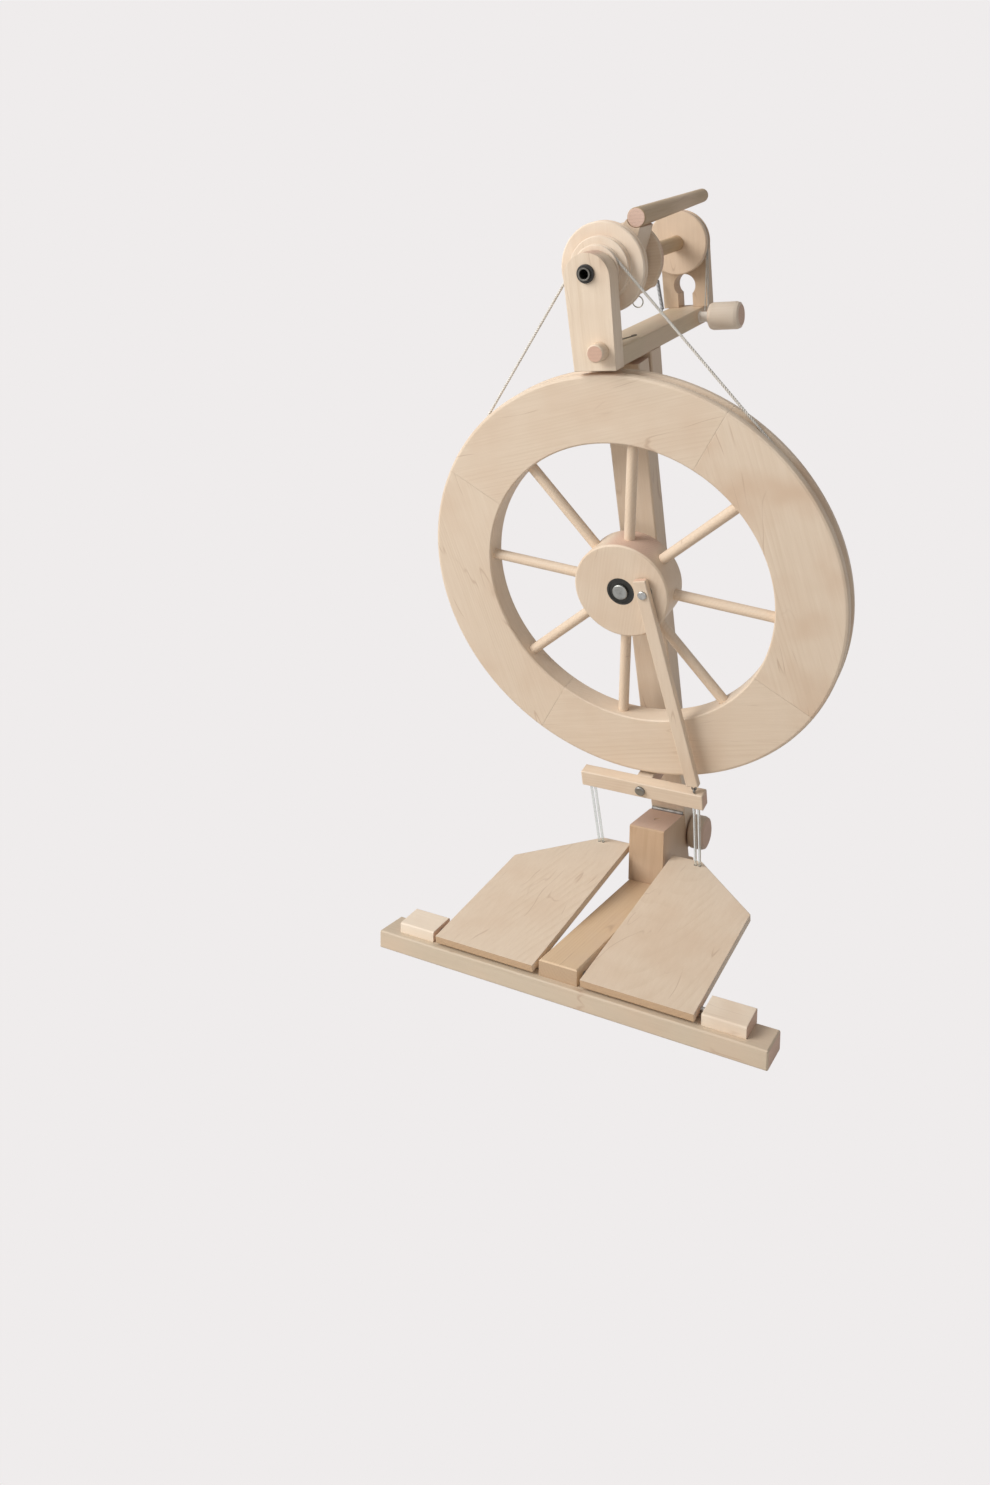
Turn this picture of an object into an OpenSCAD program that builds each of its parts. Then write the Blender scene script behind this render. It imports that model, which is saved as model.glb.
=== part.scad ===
// Upright spinning wheel with two treadles, a folding post, a flyer and a cord brake.
// Lengths are millimetres and angles are degrees. X runs across, Y runs back, Z is up.
// The floor is Z = 0 and the origin is the middle of the box that the wheel stands in.
// Pieces on the post are drawn in the leaning post's frame: X across, Y back, Z up the post.
// Pieces on the head are drawn in the head's frame, whose Y runs along the flyer's axis.

/* [Drive wheel] */
// outer diameter of the drive wheel's rim
wheel_d = 483; // [478:1:488]
// width of the rim's wood, from its inner edge to its outer edge
rim_w = 74; // [68:1:78]
// thickness of the rim
rim_t = 27.6; // [24:0.2:30]
// height of the rim's lowest point along the post, from the hinge line
rim_low = 94.1; // [93.5:0.1:95]
// distance from the post's front face to the middle of the rim
wheel_gap = 40; // [39:0.5:41]
// width of the rim's groove where it opens
groove_w = 12; // [10:0.5:14]
// depth of the rim's groove
groove_depth = 8; // [7:0.5:9]
// diameter of the hub
hub_d = 111; // [106:1:114]
// thickness of the hub
hub_t = 43; // [42:0.5:43.5]
// number of spokes
spoke_count = 8; // [8:1:8]
// diameter of a spoke
spoke_d = 12; // [10:0.5:14]
// angle of the first spoke above level, seen from the front
spoke_angle = 36.7; // [30:0.1:40]
// angle from a spoke to the joint between two rim pieces
rim_joint_angle = 20; // [18:0.5:24]

/* [Axle and crank] */
// diameter of the axle
axle_d = 12; // [11:0.5:13]
// diameter of the axle's round head
axle_head_d = 17.4; // [16:0.2:19]
// thickness of the axle's round head
axle_head_t = 3; // [2:0.5:4]
// diameter of a ball bearing
bearing_d = 32; // [30:1:34]
// thickness of a ball bearing
bearing_t = 10; // [9:0.5:11]
// length of the spacer between the post and the hub
spacer_t = 18; // [17.5:0.5:18]
// diameter of the spacer
spacer_d = 18; // [17:0.5:20]
// distance from the axle to the crank screw
crank_throw = 30; // [28:0.5:31]
// angle of the crank screw above level, seen from the front
crank_angle = 5.8; // [3:0.1:8]

/* [Post] */
// lean of the post towards the front
lean = 18.4; // [17.8:0.1:19]
// width of the post, the spine, the hinge block and the head bar
stock_w = 44; // [42:0.5:45]
// thickness of the post
post_t = 28; // [27.5:0.1:28.5]
// length of the post below the hinge line
foot_drop = 52; // [50:0.5:54]

/* [Base] */
// length of the front bar beyond each pivot block
bar_over = 23; // [18:1:28]
// depth of the front bar
bar_d = 41; // [38:1:44]
// height of the front bar
bar_h = 20; // [18:0.5:22]
// height of the spine's top
spine_h = 37.2; // [36:0.1:38]
// distance from the front of the bar to the front of the spine
spine_front = 8.2; // [7:0.2:10]
// distance from the front of the bar to the back end of the spine
spine_back = 345; // [338:1:350]
// distance from the front of the bar to the hinge block's front face
block_front = 237.6; // [236:0.2:240]
// distance from the front of the bar to the hinge line
hinge_y = 306.6; // [305:0.2:308]
// height of the hinge line, which is the top of the hinge block
hinge_z = 106; // [104:0.2:108]
// width of a pivot block
pivot_w = 44; // [40:1:46]
// height of a pivot block's top at its back
pivot_top = 35; // [34:0.5:36]
// fall of a pivot block's top towards the front
pivot_fall = 3.4; // [2:0.2:3.6]

/* [Treadles] */
// width of a treadle board
treadle_w = 120; // [116:1:122]
// length of a treadle board
treadle_len = 254.9; // [250:0.5:258]
// thickness of a treadle board
treadle_t = 8; // [7.6:0.1:8.4]
// distance from the middle of the base to a treadle's inner edge
treadle_in = 27.2; // [26:0.2:29]
// width of a treadle's straight back edge
treadle_back_w = 36.7; // [32:0.5:42]
// distance from a treadle's front edge to the shoulder on its outer edge
treadle_shoulder = 176.2; // [170:0.5:184]
// rest angle of the left treadle
left_angle = 10; // [9.4:0.1:10.2]
// rest angle of the right treadle
right_angle = 9.3; // [8.8:0.1:10.2]
// diameter of a treadle rod
rod_d = 5; // [4.6:0.1:5.4]
// distance from the front of the bar to the treadle rods
rod_y = 24; // [23:0.2:25]
// height of the treadle rods
rod_z = 27; // [26.6:0.1:27.4]

/* [Rocker and footman] */
// length of the rocker
rocker_w = 153; // [148:1:158]
// depth of the rocker
rocker_d = 16; // [15:0.5:17]
// height of the rocker
rocker_h = 20; // [19:0.5:21]
// height of the rocker's bolt along the post, from the hinge line
rocker_u = 80; // [79.5:0.5:81]
// rest angle of the rocker, with its right end low
rocker_angle = 1.3; // [0.5:0.1:1.8]
// distance from the rocker's bolt to each cord and to the footman's link
rocker_arm = 66; // [64:0.5:68]
// width of the footman
footman_w = 15; // [14:0.5:16]
// thickness of the footman
footman_t = 8; // [7.5:0.1:8.2]
// length of the footman above the crank screw
footman_over = 16.5; // [14:0.5:19]

/* [Head] */
// gap between the rim's top and the front end of the head bar
rim_gap = 3.9; // [3.5:0.1:4.5]
// distance from the post's front face back to that pin
tilt_w = 46; // [45.8:0.1:46.2]
// angle that the head stands back from the post
head_back = 2.8; // [2.6:0.1:3]
// thickness of the head's stem
stem_t = 29; // [28.6:0.1:29]
// height of the head bar's top above the tilt pin
bar_top = 106; // [105.5:0.1:106.5]
// height of the head bar
head_bar_h = 19.3; // [19:0.1:19.6]
// distance from the tilt pin forward to the front maiden's back face
bar_fore = 90; // [89.8:0.1:90.2]
// distance from the tilt pin back to the head bar's back end
bar_aft = 175; // [174:0.5:178]
// thickness of the front maiden
maiden_t = 20; // [19:0.5:21]
// greatest width of the front maiden
maiden_w = 50; // [49:0.5:52]
// width of the front maiden at its foot
maiden_foot_w = 46.5; // [45:0.5:48]
// thickness of the rear maiden
rear_t = 19.5; // [18:0.5:19.5]
// width of the rear maiden
rear_w = 55; // [53:0.5:57]
// place of the rear maiden's window, as a share of the height from the bar to the flyer's axis
window_share = 0.338; // [0.33:0.002:0.346]
// diameter of the round part of that window
window_d = 26.6; // [24:0.2:28]
// width of the window's neck
neck_w = 18; // [16:0.5:20]
// gap between the head bar and the round arm as it turns
arm_under = 14; // [13.5:0.1:14.5]

/* [Flyer] */
// diameter of the whorl's largest step
whorl_big_d = 92; // [90:0.5:94]
// diameter of the whorl's middle step
whorl_mid_d = 65; // [64:0.5:68]
// diameter of the whorl's smallest step
whorl_small_d = 50; // [49:0.5:51]
// thickness of a small step of the whorl
whorl_step = 8; // [7.8:0.1:8]
// thickness of the whorl's largest step
whorl_last = 10; // [9:0.5:11]
// outer diameter of the orifice tube
orifice_d = 13; // [12.6:0.1:13.2]
// bore of the orifice tube
orifice_bore = 9.6; // [9:0.1:10]
// angle of the flyer's arms from upright, clockwise from the front
arm_angle = 34; // [30:0.5:38]
// thickness of the yoke along the flyer's axis
yoke_t = 35; // [32:0.5:36]
// thickness of the round arm in the yoke
arm_d = 20; // [19.6:0.1:20.2]
// thickness of the round arm at its free end
arm_tip_d = 15; // [14.4:0.1:15.6]
// angle by which the round arm leans outwards
arm_splay = 2.3; // [1.8:0.1:2.5]
// distance from the flyer's axis to the middle of the round arm
arm_r = 53; // [52:0.5:54]
// gap between the round arm's end and the brake spring
sweep_gap = 0.5; // [0.4:0.1:0.8]
// distance from the flyer's axis to the middle of the flat arm
flat_r = 44; // [44:0.5:46]
// length of the flat arm behind the yoke's front
flat_len = 156; // [150:1:165]
// diameter of the spindle
spindle_d = 8; // [7.6:0.1:8.4]

/* [Bobbin and brake] */
// diameter of the bobbin's front disc
bobbin_front_d = 76; // [74:0.5:77]
// diameter of the bobbin's rear disc
bobbin_rear_d = 73; // [71:0.5:75]
// diameter of the bobbin's core
core_d = 17; // [16:0.5:19]
// length of the brake knob
knob_len = 38; // [34:1:42]
// diameter of the brake knob
knob_d = 32; // [30:0.5:34]
// diameter of the brake cord
brake_d = 1.6; // [1.4:0.1:1.8]
// number of curls in the brake spring
spring_curls = 24; // [16:1:28]
// diameter of the drive band
band_d = 3; // [2.6:0.1:3.2]

/* [Hidden] */
// facets of round pieces in the preview
$fn = 96;
// chamfer of the wood's long edges
soft = 1.4;
// chamfer of small pieces
soft_small = 0.8;
// clearance around a turning or sliding piece
run = 0.06;
// clearance between a cord and what it passes
cord_gap = 0.3;
// overlap that joins two shapes of one piece, and overshoot of a cut
eps = 0.5;
// gap between a bolt's head and the face under it
seat = 0.1;
// bevel on the edges of the head bar, the rocker and the flat arm
soft_mid = 1;
// place of a round corner's middle, as a share of the corner's radius
corner_share = 0.29;
// depth of the hinge barrel's cut in the block
relief_low = 0.3;
// width and height of that cut
relief = 4;
// clearance of the lock bolt in its notch
notch_in = 0.3;
// radius at the bottom of the block's dimple
dimple_r = 3.6;
// radius at the top of the block's dimple
dimple_top_r = 4.8;
// places of the plate screws behind the plate's front edge
plate_screws = [6, 16];
// radius of a plate screw
plate_screw_r = 1.6;
// length of a plate screw in the wood
plate_screw_in = 9;
// radius of a plate screw's head
plate_head_r = 3.2;
// height of a plate screw's head
plate_head_h = 1.6;
// length of the axle in its head
axle_in = 0.4;
// length of the axle behind the post
axle_out = 9;
// radius of the axle's washer
washer_r = 12;
// thickness of the axle's washer
washer_t = 1.5;
// height of the axle's nut
nut_h = 7;
// radius over the corners of the axle's nut
nut_r = 10.4;
// length of the rocker bolt in its head
bolt_in = 0.5;
// length of the rocker bolt behind the post
bolt_out = 2;
// length of the lock bolt beside the post
lock_out = 1;
// height of the lock bolt's head
lock_head_h = 5;
// radius over the corners of the lock bolt's head
lock_head_r = 7;
// radius of the lock bolt's collar
lock_collar_r = 9;
// radius of the lock knob's corner beside the post
near_soft = 3;
// radius of the lock knob's outer corner
far_soft = 5;
// radius of the rim's outer corners
rim_soft = 3.4;
// half of the width of the rim groove's bottom
groove_flat = 2;
// length of a spoke in the rim
spoke_in_rim = 16;
// length of a spoke in the hub
spoke_in_hub = 18;
// bevel of the hub
hub_soft = 1.8;
// clearance of the axle in the hub
hub_clear = 2.5;
// length of the crank screw's hole
crank_screw_in = 20;
// length of the crank screw in its head
crank_head_in = 0.2;
// width of a bearing's race
race_t = 2.4;
// depth of a bearing's seal
seal_in = 0.7;
// room above a cord's bend in the rocker
cord_room = 2.4;
// room at the end of the brake knob's shaft
shaft_gap = 1;
// thickness of the rear bushing's lip
rear_lip_t = 1;
// width of the rear bushing's lip
rear_lip = 1.5;
// gap between the stem and the tension screw's knob
tension_gap = 0.2;
// height of the sleeve's lips
sleeve_lip = 1;
// thickness of the sleeve's lips
sleeve_lip_t = 1.4;
// distance from the sleeve's ends to its straight part
sleeve_slope = 2;
// inset of the middle of the brake knob's corner
knob_mid_in = 1.2;
// distance of that middle from the knob's end
knob_mid_up = 1.6;
// bevel of the orifice's mouth
lip_soft = 0.4;
// overlap of the hoop and its clip, sideways
hoop_in = 1.4;
// overlap of the hoop and its clip, in height
hoop_up = 1;
// radius of the corners of the bobbin's front disc
disc_soft = 2;
// bevel of the bobbin's rear disc
rear_soft = 1.2;
// slope of the brake groove's sides
brake_slope = 0.6;
// length of a bobbin bushing
bush_len = 10;
// length of a bobbin bushing outside the bobbin
bush_out = 1;
// length of the hook wire in its handle
wire_in = 12;
// length of the hook wire before its bend
wire_out = 1;
// radius of the hook wire's bend
hook_r = 1.5;
// length of the hook wire after its bend
hook_tail = 4;

// outer radius of the rim
wheel_r = wheel_d / 2;
// height of the drive wheel's axle along the post, from the hinge line
axle_u = rim_low + wheel_r;
// height of the flyer's axis above the tilt pin
flyer_u = bar_top + arm_under + arm_r + arm_d / 2;
// bottom of the head bar over the tilt pin
bar_low = bar_top - head_bar_h;
// height along the post of the pin that the head tilts on
tilt_u = axle_u + wheel_r + rim_gap - bar_low * cos(head_back) - bar_fore * sin(head_back);
// gap between the post's top and the head bar
post_under = 3.7;
// height of the post's top, from the hinge line along the post
post_top = tilt_u + bar_low - post_under;
// clearance between two flat faces that meet
fit = 0.02;
// half of the post's and bar's width
half_w = stock_w / 2;
// the lock knob: its height along the post, its middle behind the front face and its size
lock_u = -35;
// distance of the lock bolt behind the post's front face
lock_w = 14;
// diameter of the lock bolt
lock_bolt_d = 8;
// diameter of the lock knob
lock_knob_d = 42;
// thickness of the lock knob
lock_knob_t = 20;
// distance from the post's side to the lock knob
lock_gap = 2;
// half of the depth of the whole wheel, from the front bar to the lock knob
half_depth = (hinge_y + lock_w * cos(lean) - lock_u * sin(lean) + lock_knob_d / 2) / 2;

// hinge barrel: place of its pin in the post's frame
pin_w = -1.9;
// height of the hinge pin above the hinge line
pin_u = 1.9;
// radius of the hinge barrel
barrel_r = 2.4;
// radius of the hinge pin
hinge_pin_r = 1.1;
// length of one knuckle of the hinge
knuckle = 8;
// gap between two knuckles
knuckle_gap = 0.1;
// thickness of a hinge leaf
leaf_t = 1.2;
// length of a hinge leaf down the post
leaf_len = 18;
// width of a hinge leaf
leaf_w = 5 * knuckle;

// lug of the hinge block that stands in the post's slot
lug_t = 12;
// gap beside the lug
lug_gap = 0.3;
// reach of the lug into the post
lug_w = 23;
// top of the lug below the hinge line
lug_top = 22;
// top of the post's slot below the hinge line
slot_top = 19.5;
// bottom of the lug below the hinge line
lug_low = 46;
// width of the notch that the lock bolt leaves by
notch_w = 11;
// angle of that notch
notch_angle = 33;

// front face of the hub, behind the post's front face when positive
hub_back = -spacer_t;
// front plane of the hub
hub_front = hub_back - hub_t;
// thickness of the crank's boss
boss_t = 1.5;
// diameter of the crank's boss
boss_d = 15;
// clearance of the open pivot between the boss and the footman
open_gap = 0.3;
// back face of the footman
footman_back = hub_front - boss_t - open_gap;
// middle of the rim, in the post's frame
wheel_w = -wheel_gap;
// place of the crank screw from the axle
crank_x = crank_throw * cos(crank_angle);
// height of the crank screw over the axle
crank_z = crank_throw * sin(crank_angle);
// diameter of the crank screw's shank
crank_screw_d = 6;
// diameter of the crank screw's head
crank_head_d = 10;
// thickness of the crank screw's head
crank_head_t = 2.2;

// wire radius of the two screw eyes
eye_wire = 0.8;
// ring radius of the two screw eyes
eye_ring = 2.6;
// place of the eyes in front of the post's face, in the footman's middle
eye_w = footman_t / 2 - footman_back;
// length of an eye's shank in the wood
eye_shank = 7;
// clearance between the rocker and the rim
rocker_gap = 1;
// distance from the post's front face to the rocker's front face
rocker_reach = wheel_gap + rim_t / 2 + rocker_gap + rocker_d;
// clearance between the eye and the wood, and between the two eyes
eye_gap = 0.1;
// height of the link over the rocker's middle
link_h = rocker_h / 2 + 2 * eye_ring + eye_wire + eye_gap;
// place of the link in the post's frame
link_x = rocker_arm * cos(rocker_angle) + link_h * sin(rocker_angle);
// height of the link along the post
link_u = rocker_u - rocker_arm * sin(rocker_angle) + link_h * cos(rocker_angle);
// lean of the footman to the left
footman_lean = atan2(link_x - crank_x, axle_u + crank_z - link_u);
// distance from the link to the crank screw
footman_reach = norm([link_x - crank_x, axle_u + crank_z - link_u]);
// middle of the footman's eye over the link
footman_eye_h = eye_ring - 2 * eye_wire - eye_gap;
// lower end of the footman over the link
footman_low = footman_eye_h + eye_ring + eye_wire;

// diameter of the rocker's bolt
rocker_bolt_d = 8;
// diameter of the rocker bolt's head and washer
rocker_head_d = 12;
// thickness of the rocker bolt's head
rocker_head_t = 3;
// width of the block between the post and the rocker
rocker_block_w = 20;
// height of that block
rocker_block_h = 18;

// distance from a treadle rod to the treadle's front edge
front_reach = 19.5;
// height of a treadle's top over its rod
treadle_up = 7.3;
// width of the cleat under a treadle
cleat_w = 14;
// depth of that cleat below the rod
cleat_low = 5;
// end of a rod inside the spine
rod_in = 8;
// gap between a treadle and its pivot block
pivot_gap = 5.8;
// inner side of a pivot block
pivot_in = treadle_in + treadle_w + pivot_gap;
// length of a rod inside its pivot block
rod_hold = 23;
// end of a rod inside its pivot block
rod_out = pivot_in + rod_hold;
// length of the front bar
bar_w = 2 * (pivot_in + pivot_w + bar_over);
// distance along a treadle from its rod to the cord's hole
hole_reach = 226.5;
// place of the cord's hole across
hole_x = 62;
// radius of a treadle cord
cord_r = 1.6;
// radius of each of the two holes that a cord goes through
hole_r = cord_r + 0.2;
// half of the distance between a cord's two strands
strand = 2.6;
// place of the cords in front of the post's face, in the rocker's middle
cord_w = rocker_reach - rocker_d / 2;
// depth of a cord's upper bend below the rocker's middle
hang_low = 3;
// radius of the hole in the rocker
rocker_hole_r = 4.8;

// front face of the front maiden
maiden_front = -bar_fore - maiden_t;
// front face of the rear maiden
rear_front = bar_aft - rear_t;
// radius of the maidens' round tops
maiden_r = maiden_w / 2;
// depth of the maidens' top centres below the flyer's axis
top_drop = 5;
// height of the rear maiden's window centre above the tilt pin
window_u = bar_top + window_share * (flyer_u - bar_top);
// height of the top's centre over the tilt pin
maiden_u = flyer_u - top_drop;
// height of the rear maiden's top centre
rear_u = flyer_u - top_drop;
// radius of the black bushing in the front maiden
bushing_r = 8.4;
// radius of the bushing's front lip
lip_r = 9.2;
// thickness of the bushing's front lip
lip_t = 3;
// length of the orifice tube in front of the lip
tube_proud = 2.4;
// gap between the whorl and the front maiden
whorl_gap = 2;
// front face of the whorl
whorl_front = -bar_fore + whorl_gap;
// front face of the middle step
whorl_2 = whorl_front + whorl_step;
// front face of the large step
whorl_3 = whorl_2 + whorl_step;
// back face of the whorl
whorl_back = whorl_3 + whorl_last;
// half of the width of a whorl groove where it opens
whorl_open = 3;
// half of the width of a whorl groove at its bottom
whorl_floor = 1.9;
// depth of a whorl groove
whorl_cut = 4;
// front face of the yoke
yoke_front = -45;
// back face of the yoke
yoke_back = yoke_front + yoke_t;
// radius of the yoke's middle
yoke_r = 24;
// half of the yoke's width beside its middle
yoke_half = 19;
// distance from the axis at which the yoke meets the round arm
yoke_end = 46.5;
// half of the yoke's width there
yoke_end_half = 8.4;
// half of the height of the yarn window in the yoke
slit_half = 7;
// front end of the yarn window
slit_front = -38;
// back end of the yarn window
slit_back = -22;
// radius of the round arm's softened end
arm_soft = 5.5;
// width of the flat arm
flat_w = 18;
// thickness of the flat arm
flat_t = 8;
// distance from the rear maiden's back face to the spindle's end
spindle_in = 3;
// back end of the spindle
spindle_end = bar_aft - spindle_in;
// radius of the rear bushing
rear_bushing_r = 7;

// middle of the sliding hook along the flyer's axis
hook_y = 52;
// length of the sliding hook's clip
clip_len = 9;
// thickness of the clip
clip_t = 1.2;
// radius of the hook's ring
hoop_r = 6.2;
// radius of the hook's wire
hoop_wire = 0.7;

// front and back of the bobbin's front disc
disc_front = -4;
// back face of the bobbin's front disc
disc_back = 2;
// gap between the bobbin's rear disc and the rear maiden
rear_disc_gap = 4;
// thickness of the bobbin's rear disc
rear_disc_t = 13.5;
// back face of the bobbin's rear disc
rear_disc_back = rear_front - rear_disc_gap;
// front face of the bobbin's rear disc
rear_disc_front = rear_disc_back - rear_disc_t;
// gap between the bobbin's end and the rear maiden
bobbin_gap = 2.5;
// back end of the bobbin
bobbin_end = rear_front - bobbin_gap;
// bore of the bobbin
bobbin_bore = 12;
// distance from the rear disc's back face to the middle of the brake's groove
brake_inset = 5;
// middle of the brake's groove
brake_y = rear_disc_back - brake_inset;
// half of the width of the brake's groove
brake_half = 3.4;
// depth of the brake's groove
brake_cut = 3;
// distance between the two strands of the brake cord
brake_pair = 2.6;
// radius of the brake cord
brake_r = brake_d / 2;
// radius of the brake cord's middle on the bobbin
wrap_r = bobbin_rear_d / 2 - brake_cut + brake_r + cord_gap;
// height of the brake knob's axis over the tilt pin
knob_u = 96.4;
// radius of the white sleeve
sleeve_r = 5.9;
// radius of the brake cord's middle on the sleeve
sleeve_turn = sleeve_r + brake_r + cord_gap;
// place of the brake knob's axis along the flyer's axis, so that the cord rises into the groove
knob_y = brake_y - sleeve_turn;
// place of the cord's turns on the sleeve
brake_x = 28;
// half of the distance between the cord's turns on the sleeve
brake_lay = 2;
// end of the sleeve
sleeve_end = 35;
// radius of the brake knob's tenon
shaft_r = 4;
// length of the brake knob's tenon inside the bar
shaft_in = 16;
// softening of the brake knob's edges
knob_soft = 4;
// depth of the brake's eye below the bar's top
brake_eye_drop = 6;
// place of the brake's eye, on the left side of the bar
brake_eye = [-half_w, brake_y, bar_top - brake_eye_drop];
// distance from the bar's side to the middle of that eye's ring
brake_eye_h = 4.4;
// length of that eye's shank in the bar
brake_eye_in = 3;
// ring radius of the brake's eye
brake_eye_ring = 2.4;
// wire radius of the brake's eye and of the spring's ends
brake_wire = 0.7;
// wire radius of the brake spring
spring_wire = 0.4;
// radius of the brake spring's curls
spring_r = 2;
// distance from one curl to the next
spring_pitch = 1.55;
// length of the brake spring's lower end
spring_lead = 3;
// share of the way from the bobbin to the eye where the cord ends
cord_share = 0.42;
// length of the round arm, which ends in front of the brake spring
arm_len = brake_y - spring_r - spring_wire - sweep_gap - yoke_front;

// orifice hook: place of its handle
peg_x = 7.5;
// height of the handle's middle over the tilt pin
peg_u = 106.4;
// radius of the handle
peg_r = 9.4;
// length of the handle in front of the maiden
peg_proud = 13;
// radius of the hook's wire
peg_wire = 0.75;
// lift of the wire over the handle's middle
peg_lift = 4.4;
// end of the hook's wire
peg_end = [16, -37, bar_top + 2.6];

// thickness of a tilt plate
plate_t = 2.5;
// height of a tilt plate
plate_h = 24;
// distance from the post's front face to a tilt plate's front edge
plate_fore = 6;
// distance from the tilt pin to the plate's back edge
plate_aft = 11;
// radius of the tilt pin
tilt_r = 4;
// thickness of the tilt pin's heads
tilt_head_t = 3;
// radius of the tilt pin's heads
tilt_head_r = 6.5;
// side clearance of the stem between the plates
stem_gap = 0.2;
// end of the stem below the tilt pin
stem_low = 10;
// height of the tension bolt over the tilt pin
tension_u = 56;
// radius of the tension bolt
tension_r = 4;
// front end of the tension bolt, on the post's back
tension_tip = (post_t - tilt_w) / cos(head_back) - tension_u * tan(head_back)
    + tension_r * tan(head_back) + 0.02;
// radius of the tension bolt's knob
tension_knob_r = 7.5;
// thickness of the tension bolt's knob
tension_knob_t = 8;

// points from the post's frame to the floor's frame
function from_post(p) = [
    p.x,
    hinge_y - half_depth + p.y * cos(lean) - p.z * sin(lean),
    hinge_z + p.y * sin(lean) + p.z * cos(lean)
];
// points from the head's frame to the post's frame
function from_head(p) = [
    p.x,
    tilt_w + p.y * cos(head_back) + p.z * sin(head_back),
    tilt_u - p.y * sin(head_back) + p.z * cos(head_back)
];
// points from a treadle's frame to the floor's frame
function from_treadle(p, a) = [
    p.x,
    rod_y - half_depth + p.y * cos(a) - p.z * sin(a),
    rod_z + p.y * sin(a) + p.z * cos(a)
];
// points from the rocker's frame to the floor's frame
function from_rocker(p) = from_post([
    p.x * cos(rocker_angle) + p.z * sin(rocker_angle),
    p.y,
    rocker_u - p.x * sin(rocker_angle) + p.z * cos(rocker_angle)
]);
// a vector of length one
function unit(v) = v / norm(v);
// the part of n that stands square to t
function square_to(n, t) = unit(n - (n * t) * t);
// directions along a path
function directions(p, closed) = [
    for (i = [0:len(p) - 1]) unit(
        closed ? p[(i + 1) % len(p)] - p[(i + len(p) - 1) % len(p)]
        : p[min(i + 1, len(p) - 1)] - p[max(i - 1, 0)])
];
// side directions carried along a path without twist
function sides_along(t, n, i = 0) = i >= len(t) ? [] :
    let (m = square_to(n, t[i])) concat([m], sides_along(t, m, i + 1));
// rings of points around a path
function rings(p, t, n, r, count) = [
    for (i = [0:len(p) - 1]) for (k = [0:count - 1])
        let (a = 360 * k / count) p[i] + r * cos(a) * n[i] + r * sin(a) * cross(t[i], n[i])
];
// points of an arc about c, from angle a to angle b, in the plane of u and v
function arc(c, r, u, v, a, b, steps) = [
    for (i = [0:steps]) let (g = a + (b - a) * i / steps) c + r * cos(g) * u + r * sin(g) * v
];
// points of a coil from point a to point b, drawn in to its middle over the first and last turn
function coil(a, b, r, turns, per) = let (
        w = unit(b - a), u = square_to([1, 0, 0], w), v = cross(w, u)
    ) [
        for (i = [0:turns * per]) let (g = 360 * i / per, e = min(1, i / per, turns - i / per))
            a + (b - a) * i / (turns * per) + r * e * cos(g) * u + r * e * sin(g) * v
    ];

// radius of the drive band's middle on the rim
band_r = wheel_r - groove_depth + band_d / 2 + 1;
// radius of the drive band's middle on the whorl
band_small_r = whorl_small_d / 2 - whorl_cut + band_d / 2 + cord_gap;
// middle of the whorl's small groove in the post's frame
band_top = from_head([0, whorl_front + whorl_step / 2, flyer_u]);
// middle of the rim's groove in the post's frame
band_low = [0, wheel_w, axle_u];
// angle at which the band leaves the rim and the whorl
band_angle = asin((band_r - band_small_r) / (band_top.z - band_low.z));
// route of the drive band around the rim and the whorl, in the post's frame
band_path = concat(
    arc(band_low, band_r, [1, 0, 0], [0, 0, 1], band_angle, -180 - band_angle, 64),
    arc(band_top, band_small_r, [1, 0, 0], from_head([0, 0, 1]) - from_head([0, 0, 0]),
        180 - band_angle, band_angle, 11)
);

// lower bend of a treadle cord, under its board
function cord_low(side, a) =
    from_treadle([side * hole_x, hole_reach, treadle_up - treadle_t - cord_r], a);
// upper bend of a treadle cord, inside the rocker
function cord_high(side) = from_rocker([side * rocker_arm, -cord_w, -hang_low]);
// route of one treadle cord: through the two holes of its treadle and up into the rocker
function cord_path(side, a) = let (
        low = cord_low(side, a),
        high = cord_high(side),
        up = unit(high - low),
        out = square_to([1, 0, 0], up)
    ) concat(
        arc(low, strand, out, -up, 0, 180, 8),
        [for (k = [1:4]) low - strand * out + (high - low) * k / 5],
        arc(high, strand, -out, up, 0, 180, 8),
        [for (k = [1:4]) high + strand * out - (high - low) * k / 5]
    );

// the spring's lower end on the brake's eye
spring_low = brake_eye + [-brake_eye_h, 0, brake_eye_ring];
// angle on the bobbin's groove that a straight cord from point p touches
function touch_angle(p, way) =
    atan2(p.z - flyer_u, p.x) + way * acos(wrap_r / norm([p.x, p.z - flyer_u]));
// angle at which the brake cord leaves the groove on the left
leave_angle = 360 + touch_angle(spring_low, -1);
// where the brake cord leaves the bobbin on the left
leave_left = [wrap_r * cos(leave_angle), brake_y, flyer_u + wrap_r * sin(leave_angle)];
// the brake cord's end at the spring
cord_end = leave_left + (spring_low - leave_left) * cord_share;
// direction of the spring
spring_way = unit(spring_low - cord_end);
// upper end of the brake spring, under the fold of the cord
spring_top = cord_end + 2 * brake_r * spring_way;
// upper end of the curls
curl_top = spring_low - spring_way * (spring_lead + spring_curls * spring_pitch);
// lower end of the curls
curl_low = spring_low - spring_way * spring_lead;
// curls of the brake spring
curls = coil(curl_top, curl_low, spring_r, spring_curls, 8);
// least gap between the spring's curls
spring_self_gap = min([
    for (i = [0:len(curls) - 7]) for (j = [i + 6:min(i + 10, len(curls) - 1)])
        norm(curls[i] - curls[j])
]) - 2 * spring_wire;
echo(spring_self_gap = spring_self_gap);

// radius of the round arm at distance y from its front end
function arm_at(y) =
    arm_d / 2 - (y - soft_small) * (arm_d - arm_tip_d) / 2 / (arm_len - arm_soft - soft_small);

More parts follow.
